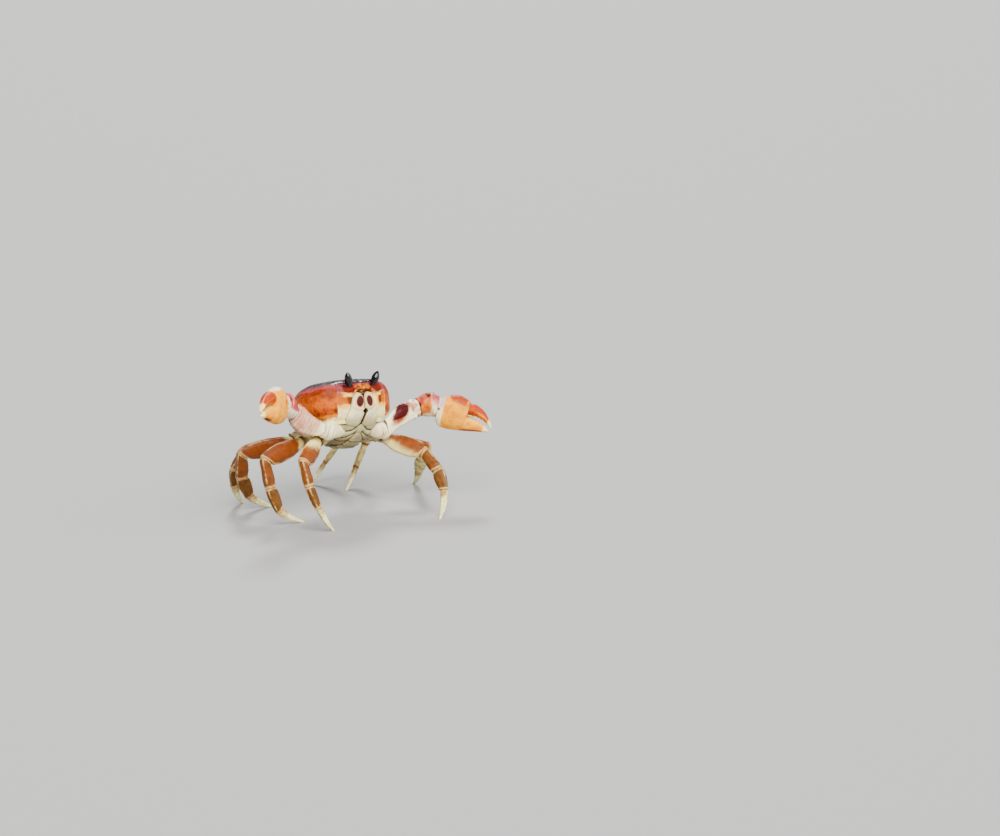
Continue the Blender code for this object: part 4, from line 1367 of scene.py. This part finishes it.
def claw_marks(side, segment, shell):
    """Where each colour of a claw lies, in millimetres along and above its segment."""
    x, y, z = shell.points.T
    up, left = shell.up, side == "left"
    grain = lumps(shell.points, 2.4, 41) * 0.5 + lumps(shell.points, 6.0, 42) * 0.5
    names = ("white", "rose", "red", "rusty", "crimson", "lilac", "blush", "butter", "tip")
    masks = {name: np.zeros(len(x)) for name in names}
    masks["seam"] = 0.6 * (0.8 * swell(shell.from_start, 0.5) * (segment.start is not None))

    def blot(cx, cz, wide, high, lean=0.0, soft=0.35):
        gap = np.hypot((x - cx) / wide, (z - cz - lean * (x - cx)) / high)
        return 1.0 - rise(gap + 0.12 * grain, 1.0 - soft, 1.0 + soft)

    if segment.name == "base":
        masks["white"] = np.ones(len(x))
        masks["lilac"] = (0.3 + 0.3 * grain) * left
        masks["butter"] = 0.3 + 0.3 * grain
        for place, width in BASE_FOLDS[side]:
            fold = 0.8 * swell(fold_gap(shell, place), width) * (0.8 + 0.5 * grain)
            masks["seam"] = np.maximum(masks["seam"], fold)
    if segment.name == "merus":
        masks["white"] = np.ones(len(x))
        if left:
            narrow = 0.55 + 0.45 * rise(x, 6.0, 13.5)
            patches = 0.3 + 0.5 * rise(lumps(shell.points, 1.4, 38), -0.3, 0.3)
            masks["crimson"] = blot(11.2, 5.2, 5.8, 3.0 * narrow, 0.12, 0.3)
            # rose along the upper edge is a painted highlight; the blot near the elbow is the shell's own pink
            masks["rose"] = np.maximum(rise(z - 7.4 + 0.4 * grain, -0.6, 0.9), 0.75 * blot(17.6, 4.6, 1.3, 3.6))
            masks["blush"] = rise(x - 18.6 + grain, -0.8, 0.8) * patches
            masks["rusty"] = 0.85 * blot(9.4, 3.4, 5.6, 2.6, 0.1, 0.8)
        else:
            stripes = np.sin(x * 3.4 + 0.8 * y + 1.5 * grain)
            masks["blush"] = rise(x, -1.0, 5.0) * (0.72 + 0.07 * stripes + 0.35 * grain)
            # a painted highlight along the top ridge
            masks["rose"] = 0.45 * swell(up - 1.0, 0.1) * rise(x, 1.0, 4.0)
            # painted shade along the underside near the elbow
            under = 0.7 * rise(-up + 0.2 * grain, 0.75, 0.95) * rise(x, 10.0, 13.0)
            masks["seam"] = np.maximum(masks["seam"], under)
    if segment.name == "carpus":
        crest = carpus_crest(side, shell)
        turned = 6.6 - 1.6 * rise(-crest, -0.2, 0.9) + 0.3 * grain
        line = swell(x - turned, 0.75)
        if left:
            masks["rose"] = 0.3 + 0.5 * rise(crest, 0.1, 0.7) + 0.3 * grain
            masks["red"] = 0.3 + 0.4 * grain
            masks["rusty"] = 0.34 + 0.4 * grain
            masks["crimson"] = np.maximum(0.75 * blot(5.2, 7.4, 1.5, 1.8), 0.9 * blot(0.8, 2.4, 1.0, 1.1))
            masks["white"] = np.maximum(rise(x - turned, 0.0, 0.6), blot(5.0, -4.0, 3.6, 2.2))
            masks["lilac"] = rise(x - turned, 0.3, 1.0) * rise(crest, -0.2, 0.5)
        else:
            masks["white"] = np.ones(len(x))
            masks["lilac"] = 0.55 + 0.4 * grain
            masks["rose"] = rise(crest + 0.1 + 0.2 * grain, -0.25, 0.25) * rise(8.6 - x + grain, -0.8, 0.8)
            masks["crimson"] = 0.8 * rise(lumps(shell.points, 1.6, 43), -0.2, 0.5) * rise(crest - 0.4, -0.1, 0.3)
        masks["butter"] = 0.52 * line * rise(crest, -0.3, 0.2)
    if segment.name == "hand":
        wrist = rise(3.0 - x - 0.22 * z + 0.7 * grain, -0.9, 0.9)
        heel = blot(2.4, -6.8, 2.6, 1.6, 0.0, 0.6)
        masks["white"] = np.maximum(wrist, heel)
        masks["lilac"] = wrist * rise(z, -1.0, 4.0)
        if left:
            masks["red"] = rise(z - 7.4 + 0.9 * grain, -1.8, 1.8) * rise(x, 1.6, 4.6)
            masks["red"] = masks["red"] * rise(14.6 - x + grain, -1.5, 2.5)
            masks["rusty"] = 0.6 * rise(z - 6.2 + grain, -2.0, 2.0) * rise(x, 2.0, 5.0)
            # a painted highlight along the top ridge
            masks["rose"] = swell(up - 1.0, 0.05) * rise(x, 2.0, 5.0)
            masks["crimson"] = 0.75 * blot(0.9, 0.6, 0.8, 0.9)
            low = rise(-up - 0.62 + 0.1 * grain, -0.14, 0.14) * rise(x, 12.5, 16.0)
            masks["rusty"] = np.maximum(masks["rusty"], low)
        else:
            high = rise(3.4 - x + 0.6 * grain, -0.8, 0.8) * rise(z + 0.6 * grain, -1.5, 1.5)
            # the white and lilac band along the top rim is a painted highlight; the patch by the wrist is the shell's
            # own
            masks["white"] = np.maximum.reduce([masks["white"], rise(z - 9.2 + 0.4 * grain, -0.6, 0.6), high])
            masks["lilac"] = np.maximum.reduce([masks["lilac"], 0.6 * rise(z - 9.6 + 0.4 * grain, -0.8, 0.8), high])
            masks["red"] = 0.6 * blot(6.5, 3.0, 1.8, 1.6)
            masks["rusty"] = rise(-up - 0.7 + 0.1 * grain, -0.14, 0.14) * rise(x, 16.0, 19.5)
            masks["crimson"] = 0.9 * rise(-up - 0.7 + 0.1 * grain, -0.12, 0.12) * swell(x - 21.5, 2.0)
        teeth = rise(up, 0.55, 0.9) * rise(x, 15.6, 16.6)
        masks["butter"] = np.maximum(teeth, 0.45 * swell(x - 13.0 + 0.6 * grain, 2.2) * rise(z, -3.0, 3.0))
        masks["tip"] = rise(x - 25.0 + 0.4 * grain, -1.8, 1.0)
    if segment.name == "finger":
        masks["red"] = 0.62 + 0.4 * grain + 0.25 * rise(up, 0.0, 0.8) - 0.3 * swell(up - 0.1, 0.35)
        masks["rusty"] = 0.4 + 0.3 * grain
        # rose, and white on the right finger, along the top ridge: painted highlights
        masks["rose"] = 0.6 * swell(up - 1.0, 0.06)
        if not left:
            masks["white"] = 0.6 * swell(up - 1.0, 0.04)
        masks["butter"] = rise(-up, 0.7, 0.95) * rise(x, 16.0, 17.5)
        masks["tip"] = rise(x - 25.4 + 0.4 * grain, -1.8, 1.2)
    return masks


def build_claw(side):
    """The shells of one claw and the skin in its joints."""
    name = f"claw_{side}"
    skin = bmesh.new()
    for segment in claw_segments(side):
        shell = claw_shell(side, segment)
        node = f"{name}_{segment.name}"
        make_piece(f"{node}_shell", shell.bm, segment.frame, "claw", [node], **claw_marks(side, segment, shell))
        if segment.end is not None:
            skin_at(skin, segment, *CLAW_PADS[segment.name], CLAW_SKIN_THICKNESS)
    make_piece(f"{name}_skin", skin, Matrix(), "claw_skin", [f"{name}_base"])


# ---------------------------------------------------------------- finishes


def paint(red, green, blue):
    """A colour given as on a screen, as the shader wants it."""
    return tuple((part / 255) ** 2.2 for part in (red, green, blue)) + (1.0,)


class Nodes:
    """The nodes of one tree, made and linked one at a time."""

    def __init__(self, tree):
        self.tree = tree

    def node(self, kind, **settings):
        made = self.tree.nodes.new(kind)
        for key, value in settings.items():
            setattr(made, key, value)
        return made

    def feed(self, socket, value):
        if isinstance(value, bpy.types.NodeSocket):
            self.tree.links.new(value, socket)
        else:
            socket.default_value = value

    def feed_all(self, made, values):
        for name, value in values.items():
            self.feed(made.inputs[name], value)
        return made

    def texture(self, scale, detail, roughness, warp=0.0):
        values = {"Vector": self.place, "Scale": scale, "Detail": detail, "Roughness": roughness, "Distortion": warp}
        return self.feed_all(self.node("ShaderNodeTexNoise"), values).outputs["Fac"]

    def noise(self, size, detail=3.0, warp=0.0):
        """Soft noise with patches of that many millimetres."""
        return self.texture(1.0 / size, detail, 0.55, warp)

    def cells(self, scale):
        made = self.node("ShaderNodeTexVoronoi")
        return self.feed_all(made, {"Vector": self.place, "Scale": scale}).outputs["Distance"]

    def sum(self, operation, *values):
        made = self.node("ShaderNodeMath", operation=operation)
        for socket, value in zip(made.inputs, values):
            self.feed(socket, value)
        return made.outputs[0]

    def spread(self, value, low, high, to_low=0.0, to_high=1.0):
        made = self.node("ShaderNodeMapRange", interpolation_type="SMOOTHSTEP")
        values = {"Value": value, "From Min": low, "From Max": high, "To Min": to_low, "To Max": to_high}
        return self.feed_all(made, values).outputs["Result"]


class Recipe(Nodes):
    """A finish being put together."""

    def __init__(self, name, roughness, coat=0.0, coat_roughness=0.1, specular=0.15):
        self.material = bpy.data.materials.new(name)
        self.material.use_nodes = True
        super().__init__(self.material.node_tree)
        self.shader = self.tree.nodes["Principled BSDF"]
        self.finish(
            {
                "Roughness": roughness,
                "Coat Weight": coat,
                "Coat Roughness": coat_roughness,
                "Specular IOR Level": specular,
            }
        )
        self.place = self.attribute("place", "Vector")

    def finish(self, values):
        self.feed_all(self.shader, values)
        return self.material

    def attribute(self, name, output="Fac"):
        return self.node("ShaderNodeAttribute", attribute_name=name).outputs[output]

    def mix(self, share, a, b, blend="MIX"):
        made = self.node("ShaderNodeMix", data_type="RGBA", blend_type=blend)
        self.feed(made.inputs["Factor"], share)
        colours = [socket for socket in made.inputs if socket.type == "RGBA"]
        for socket, colour in zip(colours, (a, b)):
            self.feed(socket, paint(*colour) if isinstance(colour, tuple) else colour)
        return [socket for socket in made.outputs if socket.type == "RGBA"][0]

    def marbled(self, size, detail, low, high, a, b, warp=0.0):
        """Two colours in soft patches of that size."""
        return self.mix(self.spread(self.noise(size, detail, warp), low, high), a, b)

    def layers(self, colour, *rows):
        """Lay colours over another, each where its mask is and with a broken natural border."""
        for mask, over, size, ragged, soft in rows:
            grain = self.sum("SUBTRACT", self.noise(size, 4.0), 0.5)
            wavering = self.sum("MULTIPLY_ADD", grain, ragged, self.attribute(mask))
            colour = self.mix(self.spread(wavering, 0.5 - soft, 0.5 + soft), colour, over)
        return colour

    def bump(self, strength, depth, height):
        """Small relief, with its depth in millimetres."""
        made = self.node("ShaderNodeBump")
        return self.feed_all(made, {"Strength": strength, "Distance": depth * MM, "Height": height}).outputs["Normal"]

    def shell_surface(self, colour, depth, **values):
        """Finish a piece of shell with mottling, pits and an uneven gloss."""
        made = self.node("ShaderNodeGroup", node_tree=SHELL_GRAIN)
        values = {key.replace("_", " ").capitalize(): value for key, value in values.items()}
        grain = self.feed_all(made, {"Place": self.place, **values}).outputs
        tinted = self.mix(1.0, colour, grain["Tint"], "MULTIPLY")
        normal = self.bump(0.9, depth, grain["Height"])
        return self.finish({"Base Color": tinted, "Roughness": grain["Roughness"], "Normal": normal})


def shell_grain():
    """Fine mottling, pits and gloss changes that every piece of shell shares."""
    tree = bpy.data.node_groups.new("shell grain", "ShaderNodeTree")
    face = tree.interface
    face.new_socket("Place", in_out="INPUT", socket_type="NodeSocketVector")
    defaults = {"Mottle": 0.25, "Speckle": 0.3, "Pits": 0.5, "Gloss low": 0.25, "Gloss high": 0.45, "Fineness": 1.0}
    for name, value in defaults.items():
        face.new_socket(name, in_out="INPUT", socket_type="NodeSocketFloat").default_value = value
    for name, kind in (("Tint", "NodeSocketColor"), ("Roughness", "NodeSocketFloat"), ("Height", "NodeSocketFloat")):
        face.new_socket(name, in_out="OUTPUT", socket_type=kind)
    look = Nodes(tree)
    given = look.node("NodeGroupInput").outputs
    look.place = given["Place"]

    def noise(scale, detail):
        return look.texture(look.sum("MULTIPLY", given["Fineness"], scale), detail, 0.5)

    broad = look.sum("SUBTRACT", noise(0.45, 4.0), 0.5)
    fine = look.sum("SUBTRACT", noise(2.6, 3.0), 0.5)
    dots = look.spread(look.cells(1.5), 0.28, 0.12)
    light = look.sum("MULTIPLY_ADD", broad, look.sum("MULTIPLY", given["Mottle"], 2.0), 1.0)
    light = look.sum("MULTIPLY_ADD", fine, look.sum("MULTIPLY", given["Mottle"], 1.2), light)
    speckle = look.sum("MULTIPLY", given["Speckle"], look.spread(noise(0.6, 2.0), 0.45, 0.65))
    light = look.sum("SUBTRACT", light, look.sum("MULTIPLY", dots, speckle))
    tint = look.node("ShaderNodeCombineColor")
    for channel, lean in zip(("Red", "Green", "Blue"), (0.35, 0.0, -0.25)):
        look.feed(tint.inputs[channel], look.sum("MULTIPLY_ADD", broad, lean * 0.5, light))
    patches = look.spread(noise(0.9, 4.0), 0.3, 0.7)
    gloss = look.sum("SUBTRACT", given["Gloss high"], given["Gloss low"])
    relief = look.sum("MULTIPLY_ADD", fine, 0.8, broad)
    results = {
        "Tint": tint.outputs["Color"],
        "Roughness": look.sum("MULTIPLY_ADD", patches, gloss, given["Gloss low"]),
        "Height": look.sum("SUBTRACT", relief, look.sum("MULTIPLY", dots, given["Pits"])),
    }
    look.feed_all(look.node("NodeGroupOutput"), results)
    return tree


# Each layer of a finish: mask, colour, size of the border's waves, how ragged and how soft it is


def carapace_finish():
    look = Recipe("carapace", 0.3, coat_roughness=0.09, specular=0.08)
    look.finish({"Coat Weight": look.spread(look.attribute("gloss"), 0.0, 1.0, 0.02, 0.22)})
    colour = look.layers(
        look.marbled(3.0, 4.0, 0.35, 0.65, (22, 18, 24), (42, 32, 37)),
        ("plum", (99, 49, 64), 1.5, 0.6, 0.25),
        ("rose", (148, 60, 55), 1.5, 0.6, 0.25),
        ("red", (126, 39, 15), 1.8, 0.7, 0.25),
        ("orange", look.marbled(3.4, 5.0, 0.4, 0.62, (96, 33, 7), (121, 46, 8), 0.6), 2.2, 0.8, 0.3),
        ("glow", (186, 84, 10), 2.6, 1.6, 0.45),
        ("ember", (106, 29, 8), 2.0, 1.6, 0.4),
        ("amber", (203, 117, 27), 1.5, 0.6, 0.3),
        ("pale", (242, 222, 150), 1.0, 0.4, 0.25),
        ("yolk", (238, 176, 66), 1.6, 0.9, 0.48),
        ("strip", (182, 88, 12), 1.4, 1.2, 0.48),
        ("rust", (92, 46, 12), 1.2, 1.0, 0.45),
        ("blood", (104, 21, 5), 1.3, 1.5, 0.45),
        ("mauve", (128, 62, 72), 0.9, 1.2, 0.4),
        ("brow", look.marbled(1.3, 3.0, 0.4, 0.62, (190, 104, 24), (122, 46, 12)), 0.9, 0.8, 0.35),
        # painted shade under the brow and round the mouth plates
        ("dusk", (94, 49, 25), 0.7, 0.5, 0.4),
        # the sockets' dark red, deepened as painted shade
        ("hollow", (46, 14, 16), 0.8, 0.7, 0.4),
        # seam is partly dark joints and partly painted shade round and behind the mouth plates
        ("seam", (62, 44, 28), 0.6, 0.4, 0.35),
    )
    return look.shell_surface(colour, 0.2, mottle=0.34, speckle=0.4, gloss_low=0.22, gloss_high=0.46)


def belly_finish():
    look = Recipe("belly", 0.45, coat=0.05, coat_roughness=0.3)
    colour = look.layers(
        look.marbled(4.0, 4.0, 0.35, 0.65, (150, 143, 96), (184, 177, 130)),
        # painted shade on the lowest part of the breastplate and over the tail flap
        ("dusk", (122, 106, 74), 1.5, 0.8, 0.45),
        ("seam", (62, 50, 32), 0.6, 0.4, 0.4),
    )
    return look.shell_surface(colour, 0.1, mottle=0.2, speckle=0.25, gloss_low=0.4, gloss_high=0.6)


def mouth_finish():
    look = Recipe("mouth", 0.45, coat=0.05, coat_roughness=0.3)
    colour = look.layers(
        look.marbled(3.0, 4.0, 0.35, 0.65, (200, 194, 151), (225, 217, 167)),
        # painted shade on the plates' lower ends
        ("dusk", (175, 165, 118), 1.2, 0.7, 0.45),
        ("halo", (232, 184, 122), 0.7, 0.6, 0.48),
        ("oval", look.mix(look.noise(1.0), (42, 14, 7), (78, 17, 8)), 0.7, 0.3, 0.25),
        # seam is partly the plates' joint lines and partly painted shade along the slit between them
        ("seam", (92, 72, 46), 0.6, 0.4, 0.35),
    )
    return look.shell_surface(colour, 0.1, mottle=0.18, speckle=0.25, gloss_low=0.35, gloss_high=0.55)


def claw_finish():
    look = Recipe("claw", 0.35, coat=0.03, coat_roughness=0.15, specular=0.1)
    colour = look.layers(
        look.marbled(3.6, 4.0, 0.46, 0.64, (246, 162, 7), (230, 134, 6), 1.0),
        ("red", (184, 42, 7), 1.4, 0.6, 0.35),
        # white is the shell's white, and also a painted highlight along the right hand's top rim and the right
        # finger's ridge
        ("white", (246, 236, 188), 1.5, 0.5, 0.35),
        ("lilac", (206, 172, 166), 1.3, 0.6, 0.45),
        ("blush", (182, 124, 100), 1.3, 0.6, 0.45),
        # rose is the shell's pink, and also painted highlights along the top ridges of merus, hand and finger
        ("rose", (168, 62, 66), 1.2, 0.7, 0.45),
        ("rusty", (150, 62, 9), 1.0, 0.5, 0.35),
        ("crimson", look.mix(look.noise(1.6), (34, 3, 4), (84, 8, 6)), 0.9, 0.7, 0.4),
        ("butter", (232, 176, 70), 0.8, 0.5, 0.35),
        ("tip", (250, 224, 150), 0.8, 0.3, 0.3),
        # seam is dark joints and folds, and painted shade under the right merus near the elbow
        ("seam", (96, 66, 46), 0.6, 0.5, 0.35),
    )
    return look.shell_surface(colour, 0.1, mottle=0.22, speckle=0.25, gloss_low=0.3, gloss_high=0.5)


def leg_finish():
    look = Recipe("leg", 0.38, coat=0.05, coat_roughness=0.2)
    colour = look.layers(
        look.marbled(2.4, 5.0, 0.4, 0.62, (82, 46, 21), (116, 69, 31)),
        ("ember", (121, 57, 16), 1.8, 0.9, 0.45),
        # brown is the shell's brown patches, and painted shade on the merus's underside
        ("brown", look.mix(look.noise(2.0), (62, 40, 16), (112, 72, 24)), 1.6, 1.1, 0.45),
        ("pale", (225, 208, 130), 1.6, 0.5, 0.5),
        ("edge", (202, 166, 100), 0.8, 0.8, 0.4),
        ("seam", (85, 62, 33), 0.6, 0.5, 0.4),
    )
    return look.shell_surface(colour, 0.12, mottle=0.32, speckle=0.4, gloss_low=0.3, gloss_high=0.5)


def hip_finish():
    look = Recipe("hip", 0.45, coat=0.05, coat_roughness=0.3)
    base = look.marbled(2.4, 4.0, 0.4, 0.6, (138, 125, 85), (180, 167, 118))
    colour = look.layers(base, ("edge", (118, 92, 61), 1.2, 0.6, 0.4))
    return look.shell_surface(colour, 0.1, mottle=0.25, speckle=0.3, gloss_low=0.4, gloss_high=0.6)


def toe_finish():
    look = Recipe("toe", 0.45, coat=0.05, coat_roughness=0.3)
    colour = look.layers(
        look.marbled(1.6, 4.0, 0.4, 0.62, (232, 220, 140), (252, 246, 190)),
        ("brown", (150, 106, 46), 1.2, 0.9, 0.45),
        ("tip", (172, 140, 84), 0.8, 0.3, 0.4),
    )
    return look.shell_surface(colour, 0.08, mottle=0.2, speckle=0.2, gloss_low=0.4, gloss_high=0.6)


def skin_finish(name, pale, dark):
    look = Recipe(name, 0.6)
    colour = look.marbled(1.2, 4.0, 0.3, 0.7, pale, dark)
    values = {"mottle": 0.2, "speckle": 0.0, "pits": 0.0, "gloss_low": 0.5, "gloss_high": 0.7, "fineness": 2.0}
    return look.shell_surface(colour, 0.2, **values)


def thorn_finish():
    look = Recipe("thorn", 0.4)
    colour = look.marbled(0.8, 2.0, 0.3, 0.7, (92, 60, 34), (150, 108, 66))
    return look.shell_surface(colour, 0.05, mottle=0.2, speckle=0.0, pits=0.0, gloss_low=0.3, gloss_high=0.5)


def eye_finish():
    """A dark glossy eye with fine facets, on a dull dark stalk."""
    look = Recipe("eye", 0.08, coat=0.45, coat_roughness=0.03, specular=0.3)
    stalk = look.marbled(0.9, 3.0, 0.35, 0.7, (26, 9, 12), (60, 22, 24))
    eyeball = look.marbled(0.9, 3.0, 0.35, 0.7, (6, 5, 8), (18, 15, 20))
    return look.finish(
        {
            "Base Color": look.layers(stalk, ("cornea", eyeball, 0.5, 0.1, 0.1)),
            "Roughness": look.spread(look.attribute("cornea"), 0.0, 1.0, 0.34, 0.07),
            "Normal": look.bump(0.25, 0.02, look.cells(9.0)),
        }
    )


def feeler_finish():
    look = Recipe("feeler", 0.3, coat=0.1, coat_roughness=0.15)
    colour = look.marbled(0.7, 4.0, 0.42, 0.62, (132, 62, 26), (196, 128, 66))
    return look.shell_surface(colour, 0.06, mottle=0.3, speckle=0.2, gloss_low=0.2, gloss_high=0.4)


# ---------------------------------------------------------------- stage


def studio():
    """A plain pale floor, soft lights and the camera."""
    bm = bmesh.new()
    bmesh.ops.create_grid(bm, x_segments=1, y_segments=1, size=FLOOR_SIZE)
    mesh = bpy.data.meshes.new("floor")
    bm.to_mesh(mesh)
    bm.free()
    floor = put_in_scene("floor", mesh)
    material = bpy.data.materials.new("pale floor")
    material.use_nodes = True
    shader = material.node_tree.nodes["Principled BSDF"]
    shader.inputs["Base Color"].default_value = FLOOR_COLOUR
    shader.inputs["Roughness"].default_value = 0.75
    mesh.materials.append(material)

    world = bpy.data.worlds.new("studio")
    world.use_nodes = True
    backdrop = world.node_tree.nodes["Background"]
    backdrop.inputs["Color"].default_value = BACKDROP_COLOUR
    backdrop.inputs["Strength"].default_value = BACKDROP_STRENGTH
    bpy.context.scene.world = world

    for name, toward, breadth, energy, colour in LAMPS:
        data = bpy.data.lights.new(name, "SUN")
        data.angle = radians(breadth)
        data.energy = energy
        data.color = colour
        put_in_scene(name, data).rotation_euler = Vector(toward).to_track_quat("Z", "Y").to_euler()

    turn, lift = radians(CAMERA_AZIMUTH), radians(CAMERA_ELEVATION)
    back = Vector((sin(turn) * cos(lift), -cos(turn) * cos(lift), sin(lift)))
    aim = CRAB_PLACE @ Vector(CAMERA_AIM)
    data = bpy.data.cameras.new("camera")
    data.lens = CAMERA_LENS
    data.sensor_width = CAMERA_SENSOR
    data.clip_end = 100.0
    camera = put_in_scene("camera", data)
    camera.location = (aim + back * CAMERA_DISTANCE) * MM
    camera.rotation_euler = (-back).to_track_quat("-Z", "Y").to_euler()
    bpy.context.scene.camera = camera


# ---------------------------------------------------------------- the crab

BODY = body_frame()
CRAB_PLACE = crab_place()
SHELL_GRAIN = shell_grain()
FINISHES = {
    "carapace": carapace_finish(),
    "belly": belly_finish(),
    "mouth": mouth_finish(),
    "claw": claw_finish(),
    "leg": leg_finish(),
    "hip": hip_finish(),
    "toe": toe_finish(),
    "thorn": thorn_finish(),
    "skin": skin_finish("leg skin", (190, 142, 84), (128, 84, 46)),
    "claw_skin": skin_finish("claw skin", (240, 208, 160), (206, 148, 126)),
    "eye": eye_finish(),
    "feeler": feeler_finish(),
}

carapace()
breastplate()
tail_flap()
for side in SIDES:
    mouth_plate(side)
    eye(side)
    feeler(side)
    build_claw(side)
    for pair in (1, 2, 3, 4):
        build_leg(side, pair)
studio()
